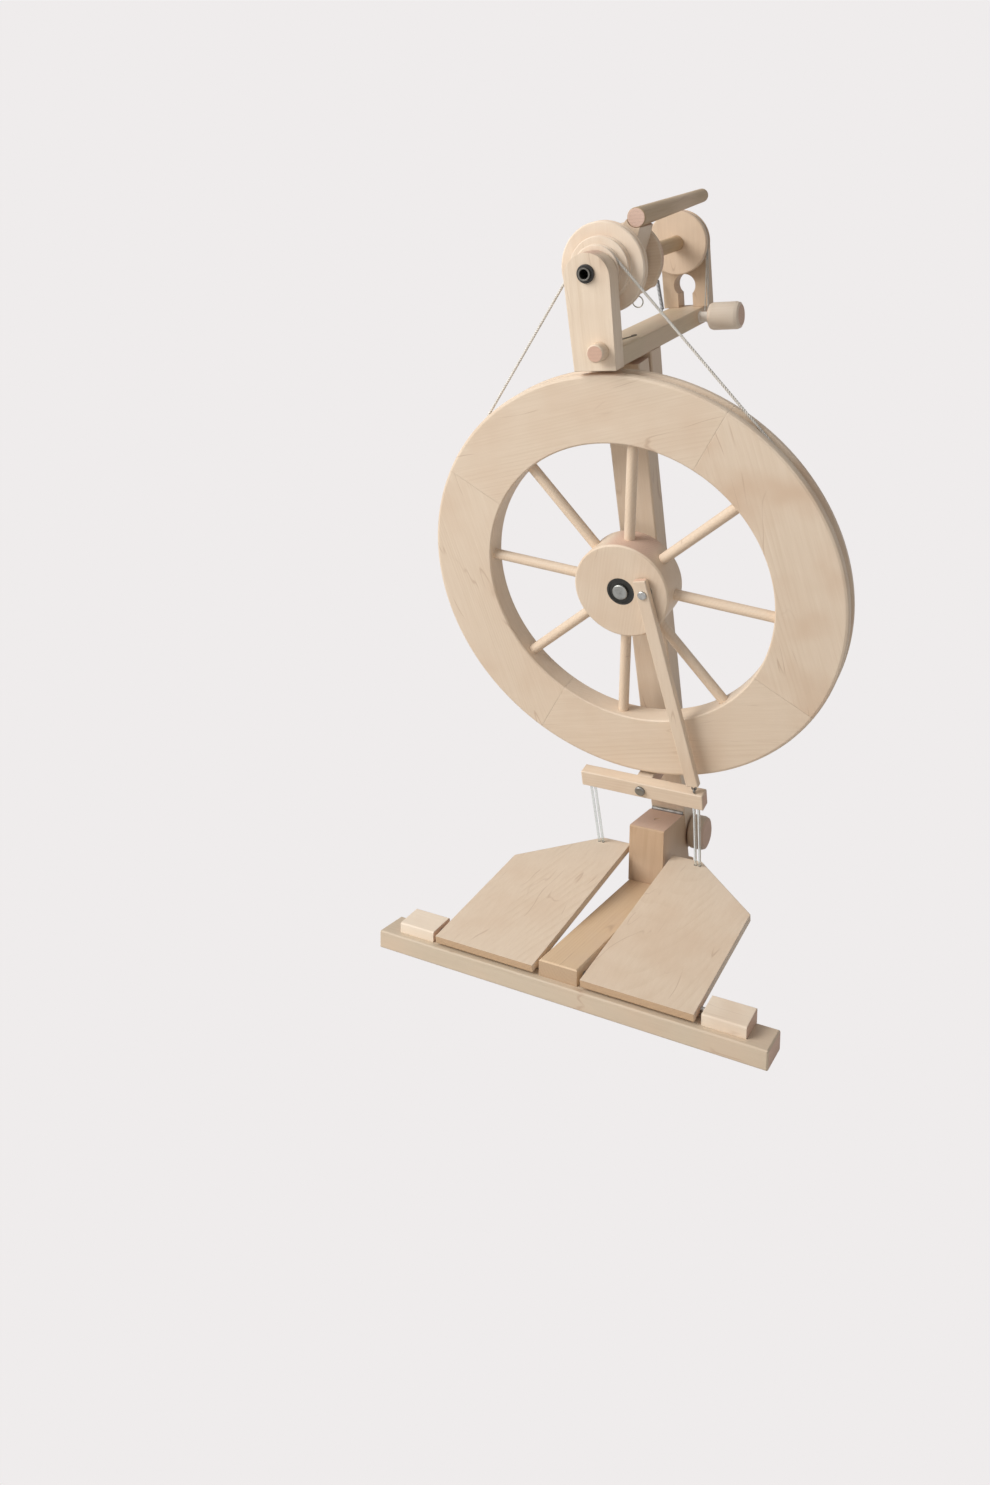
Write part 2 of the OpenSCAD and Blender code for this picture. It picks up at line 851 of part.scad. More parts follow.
// one strand of the brake cord, from the sleeve to the spring, at y on the groove
function brake_strand(y, s) = let (
        foot = [brake_x + s * brake_lay, knob_y + sleeve_turn, knob_u],
        touch = touch_angle(foot, 1),
        meet = [wrap_r * cos(touch), y, flyer_u + wrap_r * sin(touch)],
        leave = leave_left + [0, y - brake_y, 0],
        tip = cord_end + [0, y - brake_y, 0]
    ) concat(
        arc([foot.x, knob_y, knob_u], sleeve_turn, [0, 1, 0], [0, 0, 1], -70, 0, 5),
        [for (k = [1:5]) foot + (meet - foot) * k / 5],
        arc([0, y, flyer_u], wrap_r, [1, 0, 0], [0, 0, 1], touch + 8, leave_angle, 18),
        [for (k = [1:3]) leave + (tip - leave) * k / 3.2]
    );
// route of the doubled brake cord, turned back where the spring holds it
brake_path = concat(
    brake_strand(brake_y - brake_pair / 2, -1),
    [cord_end],
    [for (i = [len(brake_strand(brake_y + brake_pair / 2, 1)) - 1:-1:0])
        brake_strand(brake_y + brake_pair / 2, 1)[i]]
);

// frame of the floor
module floor_frame() {
    translate([0, -half_depth, 0]) children();
}

// frame of the leaning post
module post_frame() {
    floor_frame() translate([0, hinge_y, hinge_z]) rotate([lean, 0, 0]) children();
}

// frame of the head
module head_frame() {
    post_frame() translate([0, tilt_w, tilt_u]) rotate([-head_back, 0, 0]) children();
}

// frame of the flyer, turned so that Z points at the round arm
module flyer_frame() {
    head_frame() translate([0, 0, flyer_u]) rotate([0, arm_angle, 0]) children();
}

// frame of the round arm in the flyer's frame, with Y along the arm
module arm_frame() {
    translate([0, yoke_front, arm_r]) rotate([arm_splay, 0, 0]) children();
}

// frame of the rocker
module rocker_frame() {
    post_frame() translate([0, 0, rocker_u]) rotate([0, rocker_angle, 0]) children();
}

// frame of the footman, from the link up to the crank screw
module footman_frame() {
    post_frame() translate([link_x, 0, link_u]) rotate([0, -footman_lean, 0]) children();
}

// frame of a treadle
module treadle_frame(a) {
    floor_frame() translate([0, rod_y, rod_z]) rotate([a, 0, 0]) children();
}

// box between two corners, with chamfered edges
module soft_box(a, b, c = soft) {
    s = b - a;
    translate(a) intersection() {
        linear_extrude(s.z) cut_corners(s.x, s.y, c);
        translate([0, s.y, 0]) rotate([90, 0, 0]) linear_extrude(s.y) cut_corners(s.x, s.z, c);
        rotate([90, 0, 90]) linear_extrude(s.x) cut_corners(s.y, s.z, c);
    }
}

// rectangle with its corners cut
module cut_corners(x, y, c) {
    polygon([[c, 0], [x - c, 0], [x, c], [x, y - c], [x - c, y], [c, y], [0, y - c], [0, c]]);
}

// prism across X from a side view of points [y, z]
module across(points, x0, x1) {
    translate([x0, 0, 0]) rotate([90, 0, 90]) linear_extrude(x1 - x0) polygon(points);
}

// rod along X
module rod_x(r, x0, x1) {
    translate([x0, 0, 0]) rotate([0, 90, 0]) cylinder(h = x1 - x0, r = r);
}

// rod along Y
module rod_y_way(r, y0, y1) {
    translate([0, y0, 0]) rotate([-90, 0, 0]) cylinder(h = y1 - y0, r = r);
}

// turned piece about Y from points [radius, y]
module turned(points) {
    rotate([-90, 0, 0]) rotate_extrude() polygon(points);
}

// disc about Y with chamfered edges
module soft_disc(r, y0, y1, c) {
    turned([[0, y0], [r - c, y0], [r, y0 + c], [r, y1 - c], [r - c, y1], [0, y1]]);
}

// tube along a path
module tube(path, r, count, closed = false) {
    t = directions(path, closed);
    n = sides_along(t, square_to(abs(t[0].y) < 0.9 ? [0, 1, 0] : [1, 0, 0], t[0]));
    m = len(path);
    pts = rings(path, t, n, r, count);
    walls = [
        for (i = [0:m - (closed ? 1 : 2)]) for (k = [0:count - 1]) for (h = [0, 1])
            let (j = (i + 1) % m, l = (k + 1) % count)
            h == 0 ? [i * count + k, j * count + k, j * count + l]
            : [i * count + k, j * count + l, i * count + l]
    ];
    ends = closed ? [] : [
        [for (k = [0:count - 1]) k],
        [for (k = [count - 1:-1:0]) (m - 1) * count + k]
    ];
    polyhedron(points = pts, faces = concat(walls, ends), convexity = 10);
}

// screw eye with its ring in the XZ plane and its shank along Z
module screw_eye(ring, wire, shank) {
    rotate([90, 0, 0]) rotate_extrude() translate([ring, 0]) circle(r = wire, $fn = 24);
    translate([0, 0, ring]) cylinder(h = shank + wire, r = wire);
}

// front bar on the floor
module front_bar() color("BurlyWood") floor_frame() {
    soft_box([-bar_w / 2, 0, 0], [bar_w / 2, bar_d, bar_h]);
}

// long spine from the bar to the back, lapped over the bar
module spine() color("BurlyWood") floor_frame() difference() {
    intersection() {
        across([[spine_front, bar_h], [spine_front, spine_h - soft], [spine_front + soft, spine_h],
            [spine_back - soft, spine_h], [spine_back, spine_h - soft], [spine_back, 0],
            [bar_d, 0], [bar_d, bar_h]], -half_w, half_w);
        translate([0, spine_back + eps, 0]) rotate([90, 0, 0]) linear_extrude(spine_back + eps)
            translate([-half_w, -soft]) cut_corners(stock_w, spine_h + soft, soft);
    }
    for (s = [0, 1]) mirror([s, 0, 0]) translate([0, rod_y, rod_z])
        rod_x(rod_d / 2, rod_in, half_w + eps);
}

// hinge block on the spine, with the lug that stands in the post's slot
module hinge_block() color("BurlyWood") difference() {
    union() {
        floor_frame() across([[block_front, spine_h], [block_front, hinge_z - soft],
            [block_front + soft, hinge_z], [hinge_y - fit, hinge_z],
            [hinge_y - fit + (hinge_z - spine_h) * tan(lean), spine_h]], -half_w, half_w);
        post_frame() across([[-lug_t, -lug_top], [lug_w, -lug_top], [lug_w, -lug_low],
            [-lug_t, -lug_low]], -lug_t / 2, lug_t / 2);
    }
    post_frame() {
        translate([0, pin_w, pin_u]) rod_x(barrel_r + run, -half_w - eps, half_w + eps);
        translate([-half_w - eps, pin_w, -relief_low]) cube([stock_w + 2 * eps, relief, relief]);
        translate([-leaf_w / 2, -leaf_t, -leaf_len]) cube([leaf_w, leaf_t + eps, leaf_len + leaf_t]);
        translate([0, lock_w, lock_u]) {
            rod_x(notch_w / 2, -lug_t, lug_t);
            rotate([notch_angle, 0, 0]) translate([-lug_t, 0, notch_in - notch_w / 2])
                cube([2 * lug_t, lug_w, notch_w - 2 * notch_in]);
        }
    }
    floor_frame() translate([0, (block_front + hinge_y) / 2, hinge_z - soft_small])
        cylinder(h = soft, r1 = dimple_r, r2 = dimple_top_r);
}

// block at the right end of the bar that carries the treadle rod
module pivot_block_right() color("BurlyWood") floor_frame() difference() {
    across([[spine_front, bar_h], [spine_front, pivot_top - pivot_fall - soft],
        [spine_front + soft, pivot_top - pivot_fall], [bar_d - soft, pivot_top],
        [bar_d, pivot_top - soft], [bar_d, bar_h]], pivot_in, pivot_in + pivot_w);
    translate([0, rod_y, rod_z]) rod_x(rod_d / 2, pivot_in - eps, rod_out);
}

// block at the left end of the bar
module pivot_block_left() color("BurlyWood") mirror([1, 0, 0]) pivot_block_right();

// steel rods that the treadles swing on
module treadle_rods() color("Silver") floor_frame() {
    for (s = [0, 1]) mirror([s, 0, 0]) translate([0, rod_y, rod_z])
        rod_x(rod_d / 2, rod_in, rod_out);
}

// lower leaf of the hinge, in the block, with the hinge's pin
module hinge_leaf_lower() color("DarkGray") post_frame() {
    difference() {
        union() {
            translate([-leaf_w / 2, -leaf_t, -leaf_len]) cube([leaf_w, leaf_t, leaf_len + leaf_t]);
            for (k = [0, 2, 4]) translate([-leaf_w / 2, pin_w, pin_u])
                rod_x(barrel_r, k * knuckle + knuckle_gap, (k + 1) * knuckle - knuckle_gap);
        }
        for (k = [1, 3]) translate([-leaf_w / 2, pin_w, pin_u])
            rod_x(barrel_r + run, k * knuckle - knuckle_gap, (k + 1) * knuckle + knuckle_gap);
    }
    translate([0, pin_w, pin_u]) rod_x(hinge_pin_r, -leaf_w / 2, leaf_w / 2);
}

// upper leaf of the hinge, in the post
module hinge_leaf_upper() color("DarkGray") post_frame() difference() {
    union() {
        translate([-leaf_w / 2, 0, -leaf_len]) cube([leaf_w, leaf_t, leaf_len + pin_u]);
        for (k = [1, 3]) translate([-leaf_w / 2, pin_w, pin_u])
            rod_x(barrel_r, k * knuckle + knuckle_gap, (k + 1) * knuckle - knuckle_gap);
    }
    for (k = [0, 2, 4]) translate([-leaf_w / 2, pin_w, pin_u])
        rod_x(barrel_r + run, k * knuckle - knuckle_gap, (k + 1) * knuckle + knuckle_gap);
    translate([0, pin_w, pin_u]) rod_x(hinge_pin_r + run, -leaf_w, leaf_w);
}

// leaning post with the slot in its foot
module post() color("BurlyWood") post_frame() difference() {
    translate([-half_w, 0, -foot_drop]) linear_extrude(foot_drop + post_top)
        cut_corners(stock_w, post_t, soft);
    translate([-lug_t / 2 - lug_gap, -eps, -foot_drop - eps])
        cube([lug_t + 2 * lug_gap, post_t + 2 * eps, foot_drop + eps - slot_top]);
    translate([0, pin_w, pin_u]) rod_x(barrel_r + run, -half_w - eps, half_w + eps);
    translate([-leaf_w / 2, -eps, -leaf_len]) cube([leaf_w, leaf_t + eps, leaf_len + pin_u]);
    translate([0, lock_w, lock_u]) rod_x(lock_bolt_d / 2 + run, -half_w - eps, half_w + eps);
    translate([0, 0, axle_u]) rod_y_way(axle_d / 2, -eps, post_t + eps);
    translate([0, 0, rocker_u]) rod_y_way(rocker_bolt_d / 2, -eps, post_t + eps);
    for (s = [0, 1]) mirror([s, 0, 0]) for (w = plate_screws)
        translate([0, plate_fore + w, tilt_u]) rod_x(plate_screw_r, half_w - plate_screw_in, half_w + eps);
}

// axle bolt through the post and the hub, with its nut and washer
module axle() color("Silver") post_frame() translate([0, 0, axle_u]) {
    rod_y_way(axle_d / 2, hub_front - axle_in, post_t + axle_out);
    turned([[0, hub_front - axle_head_t], [axle_head_d / 2 - soft_small, hub_front - axle_head_t],
        [axle_head_d / 2, hub_front - axle_head_t + soft_small], [axle_head_d / 2, hub_front - seat],
        [0, hub_front - seat]]);
    rod_y_way(washer_r, post_t, post_t + washer_t);
    rotate([-90, 0, 0]) translate([0, 0, post_t + washer_t]) cylinder(h = nut_h, r = nut_r, $fn = 6);
}

// spacer on the axle between the post and the hub
module axle_spacer() color("Silver") post_frame() translate([0, 0, axle_u]) {
    turned([[axle_d / 2, hub_back], [spacer_d / 2, hub_back], [spacer_d / 2, 0], [axle_d / 2, 0]]);
}

// block that holds the rocker in front of the post
module rocker_block() color("BurlyWood") post_frame() difference() {
    soft_box([-rocker_block_w / 2, rocker_d - rocker_reach + seat, rocker_u - rocker_block_h / 2],
        [rocker_block_w / 2, 0, rocker_u + rocker_block_h / 2], soft_small);
    translate([0, 0, rocker_u]) rod_y_way(rocker_bolt_d / 2, -rocker_reach, eps);
}

// bolt that the rocker swings on
module rocker_bolt() color("Silver") post_frame() translate([0, 0, rocker_u]) {
    rod_y_way(rocker_bolt_d / 2, -rocker_reach - bolt_in, post_t + bolt_out);
    turned([[0, -rocker_reach - rocker_head_t - seat],
        [rocker_head_d / 2 - soft_small, -rocker_reach - rocker_head_t - seat],
        [rocker_head_d / 2, -rocker_reach - rocker_head_t - seat + soft_small],
        [rocker_head_d / 2, -rocker_reach - seat], [0, -rocker_reach - seat]]);
    soft_disc(rocker_head_d / 2, post_t, post_t + rocker_head_t, soft_small);
}

// drive band round the rim and the whorl
module drive_band() color("White") post_frame() tube(band_path, band_d / 2, 8, true);

// bolt of the lock, through the post's foot
module lock_bolt() color("Silver") post_frame() translate([0, lock_w, lock_u]) {
    rod_x(lock_bolt_d / 2, -half_w - lock_out, half_w + lock_gap + lock_knob_t / 2);
    translate([-half_w - lock_head_h, 0, 0]) rotate([0, 90, 0])
        cylinder(h = lock_head_h - seat, r = lock_head_r, $fn = 6);
    rod_x(lock_collar_r, half_w + seat, half_w + lock_gap);
}

// wooden knob of the lock
module lock_knob() color("Tan") post_frame() translate([half_w + lock_gap, lock_w, lock_u])
    rotate([0, 0, -90]) difference() {
    r = lock_knob_d / 2;
    turned([[0, 0], [r - near_soft, 0], [r - corner_share * near_soft, corner_share * near_soft],
        [r, near_soft], [r, lock_knob_t - far_soft],
        [r - corner_share * far_soft, lock_knob_t - corner_share * far_soft],
        [r - far_soft, lock_knob_t], [0, lock_knob_t]]);
    rod_y_way(lock_bolt_d / 2, -eps, lock_knob_t / 2);
}

// one quarter of the rim, with its share of the groove and the spokes' sockets
module rim_piece(k) color("BurlyWood") post_frame() translate([0, wheel_w, axle_u]) difference() {
    h = rim_t / 2;
    rotate([90, 0, 0]) rotate([0, 0, spoke_angle + rim_joint_angle + 90 * k])
        rotate_extrude(angle = 90) polygon([
            [wheel_r - rim_w + soft, -h], [wheel_r - rim_soft, -h],
            [wheel_r - corner_share * rim_soft, corner_share * rim_soft - h],
            [wheel_r, rim_soft - h], [wheel_r, -groove_w / 2], [wheel_r - groove_depth, -groove_flat],
            [wheel_r - groove_depth, groove_flat], [wheel_r, groove_w / 2], [wheel_r, h - rim_soft],
            [wheel_r - corner_share * rim_soft, h - corner_share * rim_soft], [wheel_r - rim_soft, h],
            [wheel_r - rim_w + soft, h],
            [wheel_r - rim_w, h - soft], [wheel_r - rim_w, soft - h]]);
    for (s = [0:spoke_count - 1]) rotate([0, -spoke_angle - 360 * s / spoke_count, 0])
        rod_x(spoke_d / 2, hub_d / 2, wheel_r - rim_w + spoke_in_rim);
}

// upper left quarter of the rim
module rim_piece_1() rim_piece(0);

// lower left quarter of the rim
module rim_piece_2() rim_piece(1);

// lower right quarter of the rim
module rim_piece_3() rim_piece(2);

// upper right quarter of the rim
module rim_piece_4() rim_piece(3);

// spokes between the hub and the rim
module spokes() color("Tan") post_frame() translate([0, wheel_w, axle_u]) {
    for (s = [0:spoke_count - 1]) rotate([0, -spoke_angle - 360 * s / spoke_count, 0])
        rod_x(spoke_d / 2, hub_d / 2 - spoke_in_hub, wheel_r - rim_w + spoke_in_rim);
}

// hub with its bearing seats
module hub() color("BurlyWood") post_frame() translate([0, 0, axle_u]) difference() {
    soft_disc(hub_d / 2, hub_front, hub_back, hub_soft);
    rod_y_way(axle_d / 2 + hub_clear, hub_front - eps, hub_back + eps);
    rod_y_way(bearing_d / 2, hub_front - eps, hub_front + bearing_t);
    rod_y_way(bearing_d / 2, hub_back - bearing_t, hub_back + eps);
    translate([0, wheel_w, 0]) for (s = [0:spoke_count - 1])
        rotate([0, -spoke_angle - 360 * s / spoke_count, 0])
            rod_x(spoke_d / 2, hub_d / 2 - spoke_in_hub, hub_d);
    translate([crank_x, 0, crank_z]) 
        rod_y_way(crank_screw_d / 2, hub_front - eps, hub_front + crank_screw_in);
}

// one ball bearing, with the grooves beside its seal
module bearing(y0) {
    r = bearing_d / 2;
    a = axle_d / 2 + run;
    y1 = y0 + bearing_t;
    turned([[a, y0], [a + race_t, y0], [a + race_t, y0 + seal_in], [r - race_t, y0 + seal_in],
        [r - race_t, y0], [r, y0],
        [r, y1], [r - race_t, y1], [r - race_t, y1 - seal_in], [a + race_t, y1 - seal_in],
        [a + race_t, y1], [a, y1]]);
}

// the two bearings in the hub
module bearings() color("DimGray") post_frame() translate([0, 0, axle_u]) {
    bearing(hub_front);
    bearing(hub_back - bearing_t);
}

// crank boss on the hub, with its screwed stud
module crank_boss() color("Silver") post_frame() translate([crank_x, 0, axle_u + crank_z]) {
    rod_y_way(boss_d / 2, hub_front - boss_t, hub_front);
    
        rod_y_way(crank_screw_d / 2, hub_front - eps, hub_front + crank_screw_in);
}

// flat footman from the rocker to the crank
module footman() color("BurlyWood") footman_frame() difference() {
    soft_box([-footman_w / 2, footman_back - footman_t, footman_low],
        [footman_w / 2, footman_back, footman_reach + footman_over], soft_small);
    translate([0, 0, footman_reach])
        rod_y_way(crank_screw_d / 2, footman_back - 2 * footman_t, footman_back + eps);
    translate([0, -eye_w, footman_eye_h + eye_ring]) cylinder(h = eye_shank + eye_wire, r = eye_wire);
}

// screw that joins the footman to the crank
module crank_screw() color("Silver") footman_frame() translate([0, 0, footman_reach]) {
    f = footman_back - footman_t;
    rod_y_way(crank_screw_d / 2, f - crank_head_in, footman_back);
    turned([[0, f - crank_head_t], [crank_head_d / 2 - soft_mid, f - crank_head_t],
        [crank_head_d / 2, f - crank_head_t + soft_mid], [crank_head_d / 2, f], [0, f]]);
}

// screw eye in the footman's lower end
module footman_eye() color("DimGray") footman_frame() translate([0, -eye_w, footman_eye_h])
    screw_eye(eye_ring, eye_wire, eye_shank);

// screw eye in the rocker's right arm
module rocker_eye() color("DimGray") rocker_frame()
    translate([rocker_arm, -eye_w, link_h - eye_ring]) rotate([180, 0, 90])
    screw_eye(eye_ring, eye_wire, eye_shank);

// rocker that passes the treadles' work to the footman
module rocker() color("BurlyWood") rocker_frame() difference() {
    soft_box([-rocker_w / 2, -rocker_reach, -rocker_h / 2],
        [rocker_w / 2, rocker_d - rocker_reach, rocker_h / 2], soft_mid);
    rod_y_way(rocker_bolt_d / 2 + run, -rocker_reach - eps, 0);
    for (s = [-1, 1]) translate([s * rocker_arm, 0, 0]) {
        translate([0, -cord_w, -rocker_h]) cylinder(h = rocker_h - hang_low + strand + cord_room,
            r = rocker_hole_r);
    }
    translate([rocker_arm, -eye_w, link_h - 2 * eye_ring - eye_wire - eye_shank])
        cylinder(h = rocker_h, r = eye_wire);
}

// rod from point p the way of v
module rod_along(p, v, h, r) {
    translate(p) rotate([0, acos(v.z / norm(v)), atan2(v.y, v.x)]) cylinder(h = h, r = r);
}

// board and cleat of a treadle, right when side is 1 and left when it is -1
module treadle(side, a) difference() {
    low = cord_low(side, a);
    up = unit(cord_high(side) - low);
    mirror([side < 0 ? 1 : 0, 0, 0]) treadle_frame(a) difference() {
        union() {
            translate([0, -front_reach, treadle_up - treadle_t]) linear_extrude(treadle_t)
                polygon([[treadle_in, 0], [treadle_in + treadle_w, 0],
                    [treadle_in + treadle_w, treadle_shoulder],
                    [treadle_in + treadle_back_w, treadle_len], [treadle_in, treadle_len]]);
            translate([treadle_in + soft_small, -cleat_w / 2, -cleat_low])
                cube([treadle_w - 2 * soft_small, cleat_w, cleat_low + treadle_up - treadle_t + eps]);
        }
        rod_x(rod_d / 2 + run, 0, rod_out);
    }
    for (k = [-1, 1])
        rod_along(low + k * strand * square_to([1, 0, 0], up) - treadle_t * up, up,
            3 * treadle_t, hole_r);
}

// right treadle
module treadle_right() color("BurlyWood") treadle(1, right_angle);

// left treadle
module treadle_left() color("BurlyWood") treadle(-1, left_angle);

// clear cord of the right treadle
module treadle_cord_right() color("Gainsboro") tube(cord_path(1, right_angle), cord_r, 8, true);

// clear cord of the left treadle
module treadle_cord_left() color("Gainsboro") tube(cord_path(-1, left_angle), cord_r, 8, true);

// steel plates on the post's sides that the head tilts in, with their screws
module tilt_plates() color("DarkGray") post_frame() {
    for (s = [0, 1]) mirror([s, 0, 0]) difference() {
        across([[plate_fore, tilt_u - plate_h / 2], [tilt_w, tilt_u - plate_h / 2],
            [tilt_w + plate_aft, tilt_u - plate_h / 4], [tilt_w + plate_aft, tilt_u + plate_h / 4],
            [tilt_w, tilt_u + plate_h / 2], [plate_fore, tilt_u + plate_h / 2]],
            half_w, half_w + plate_t);
        translate([0, tilt_w, tilt_u]) rod_x(tilt_r, 0, half_w + plate_t + eps);
    }
    for (s = [0, 1]) mirror([s, 0, 0]) for (w = plate_screws)
        translate([0, plate_fore + w, tilt_u]) {
            rod_x(plate_screw_r, half_w - plate_screw_in, half_w + plate_t);
            rod_x(plate_head_r, half_w + plate_t, half_w + plate_t + plate_head_h);
        }
}

// bolt that the head tilts on
module tilt_pin() color("Silver") post_frame() translate([0, tilt_w, tilt_u]) {
    rod_x(tilt_r, -half_w - plate_t, half_w + plate_t);
    for (s = [0, 1]) mirror([s, 0, 0])
        rod_x(tilt_head_r, half_w + plate_t, half_w + plate_t + tilt_head_t);
}

// stem of the head behind the post
module stem() color("BurlyWood") head_frame() difference() {
    translate([stem_gap - half_w, -stem_t / 2, -stem_low]) linear_extrude(stem_low + bar_low)
        cut_corners(stock_w - 2 * stem_gap, stem_t, soft);
    rod_x(tilt_r + run, -half_w, half_w);
    translate([0, 0, tension_u]) rod_y_way(tension_r + run, -stem_t, stem_t);
}

// bar of the head
module head_bar() color("BurlyWood") head_frame() difference() {
    soft_box([-half_w, -bar_fore, bar_low], [half_w, bar_aft, bar_top], soft_mid);
    translate([0, knob_y, knob_u]) rod_x(shaft_r + run, half_w - shaft_in - shaft_gap, half_w + eps);
    translate([0, brake_eye.y, brake_eye.z])
        rod_x(brake_wire, -half_w - eps, brake_eye_in + brake_wire - half_w);
}

// front maiden that carries the orifice
module front_maiden() color("BurlyWood") head_frame() difference() {
    translate([0, -bar_fore, 0]) rotate([90, 0, 0]) linear_extrude(maiden_t) {
        polygon([[-maiden_foot_w / 2, bar_low], [maiden_foot_w / 2, bar_low],
            [maiden_r, maiden_u], [-maiden_r, maiden_u]]);
        translate([0, maiden_u]) circle(r = maiden_r);
    }
    translate([0, 0, flyer_u]) rod_y_way(bushing_r, maiden_front - eps, eps - bar_fore);
    translate([peg_x, 0, peg_u]) rod_y_way(peg_r + run, maiden_front - eps, eps - bar_fore);
}

// black bushing of the orifice in the front maiden
module orifice_bushing() color("Black") head_frame() translate([0, 0, flyer_u]) {
    a = orifice_d / 2 + run;
    turned([[a, maiden_front - lip_t], [lip_r - soft_mid, maiden_front - lip_t],
        [lip_r, maiden_front - lip_t + soft_mid], [lip_r, maiden_front], [bushing_r, maiden_front],
        [bushing_r, -bar_fore], [a, -bar_fore]]);
}

// rear maiden with its keyhole window
module rear_maiden() color("BurlyWood") head_frame() difference() {
    translate([0, bar_aft, 0]) rotate([90, 0, 0]) linear_extrude(rear_t) difference() {
        union() {
            translate([-rear_w / 2, bar_top]) square([rear_w, rear_u - bar_top]);
            translate([0, rear_u]) circle(r = rear_w / 2);
        }
        translate([0, window_u]) circle(r = window_d / 2);
        translate([-neck_w / 2, bar_top - eps]) square([neck_w, window_u - bar_top]);
    }
    translate([0, 0, flyer_u]) rod_y_way(rear_bushing_r, rear_front - eps, bar_aft + eps);
}

// bushing of the spindle in the rear maiden
module rear_bushing() color("Black") head_frame() translate([0, 0, flyer_u]) {
    turned([[spindle_d / 2 + run, rear_front - rear_lip_t],
        [rear_bushing_r + rear_lip, rear_front - rear_lip_t],
        [rear_bushing_r + rear_lip, rear_front], [rear_bushing_r, rear_front],
        [rear_bushing_r, bar_aft], [spindle_d / 2 + run, bar_aft]]);
}

// eye on the bar that holds the brake spring
module brake_eye_screw() color("DimGray") head_frame()
    translate(brake_eye - [brake_eye_h, 0, 0]) rotate([0, 90, 0])
    screw_eye(brake_eye_ring, brake_wire, brake_eye_h - brake_eye_ring + brake_eye_in);

// spring of the brake, with a straight end to the eye and one to the cord
module brake_spring() color("DimGray") head_frame() tube(
    concat([spring_top, (spring_top + curl_top) / 2], curls,
        [spring_low - spring_way * (brake_wire + eye_gap)]),
    spring_wire, 6);

// doubled cord of the brake, from the sleeve over the bobbin to the spring
module brake_cord() color("Gainsboro") head_frame() tube(brake_path, brake_r, 6);

// screw and knob that set how far the head stands from the post
module tension_screw() color("DimGray") head_frame() translate([0, 0, tension_u]) {
    rod_y_way(tension_r, tension_tip, stem_t / 2 + eps);
    soft_disc(tension_knob_r, stem_t / 2 + tension_gap, stem_t / 2 + tension_knob_t, soft_small);
}

// white sleeve that the brake cord winds on
module brake_sleeve() color("White") head_frame() translate([0, knob_y, knob_u])
    rotate([0, 0, -90]) {
    turned([[shaft_r, half_w + seat], [sleeve_r + sleeve_lip, half_w + seat],
        [sleeve_r + sleeve_lip, half_w + sleeve_lip_t],
        [sleeve_r, half_w + sleeve_slope], [sleeve_r, sleeve_end - sleeve_slope],
        [sleeve_r + sleeve_lip, sleeve_end - sleeve_lip_t],
        [sleeve_r + sleeve_lip, sleeve_end], [shaft_r, sleeve_end]]);
}

// wooden knob of the brake, with its tenon in the bar
module brake_knob() color("BurlyWood") head_frame() translate([0, knob_y, knob_u])
    rotate([0, 0, -90]) {
    r = knob_d / 2;
    e = sleeve_end + knob_len;
    turned([[0, half_w - shaft_in], [shaft_r, half_w - shaft_in], [shaft_r, sleeve_end],
        [r - knob_soft, sleeve_end], [r - knob_mid_in, sleeve_end + knob_mid_up],
        [r, sleeve_end + knob_soft + soft_mid], [r, e - knob_soft - soft_mid],
        [r - knob_mid_in, e - knob_mid_up],
        [r - knob_soft, e], [0, e]]);
}

// orifice tube through the front maiden and the whorl
module orifice_tube() color("Silver") head_frame() translate([0, 0, flyer_u]) {
    f = maiden_front - lip_t - tube_proud;
    turned([[orifice_bore / 2 + lip_soft, f], [orifice_d / 2 - lip_soft, f], [orifice_d / 2, f + lip_soft],
        [orifice_d / 2, slit_front], [orifice_bore / 2, slit_front], [orifice_bore / 2, f + lip_soft]]);
}

// whorl with three grooves
module whorl() color("BurlyWood") head_frame() translate([0, 0, flyer_u]) {
    a = whorl_small_d / 2;
    b = whorl_mid_d / 2;
    c = whorl_big_d / 2;
    m1 = whorl_front + whorl_step / 2;
    m2 = whorl_2 + whorl_step / 2;
    m3 = whorl_3 + whorl_last / 2;
    turned([[orifice_d / 2, whorl_front], [a - soft_small, whorl_front], [a, whorl_front + soft_small],
        [a, m1 - whorl_open], [a - whorl_cut, m1 - whorl_floor], [a - whorl_cut, m1 + whorl_floor],
        [a, m1 + whorl_open], [a, whorl_2], [b - soft_small, whorl_2], [b, whorl_2 + soft_small],
        [b, m2 - whorl_open], [b - whorl_cut, m2 - whorl_floor], [b - whorl_cut, m2 + whorl_floor],
        [b, m2 + whorl_open], [b, whorl_3], [c - soft, whorl_3], [c, whorl_3 + soft],
        [c, m3 - whorl_open], [c - whorl_cut, m3 - whorl_floor], [c - whorl_cut, m3 + whorl_floor],
        [c, m3 + whorl_open], [c, whorl_back - soft], [c - soft, whorl_back],
        [orifice_d / 2, whorl_back]]);
}

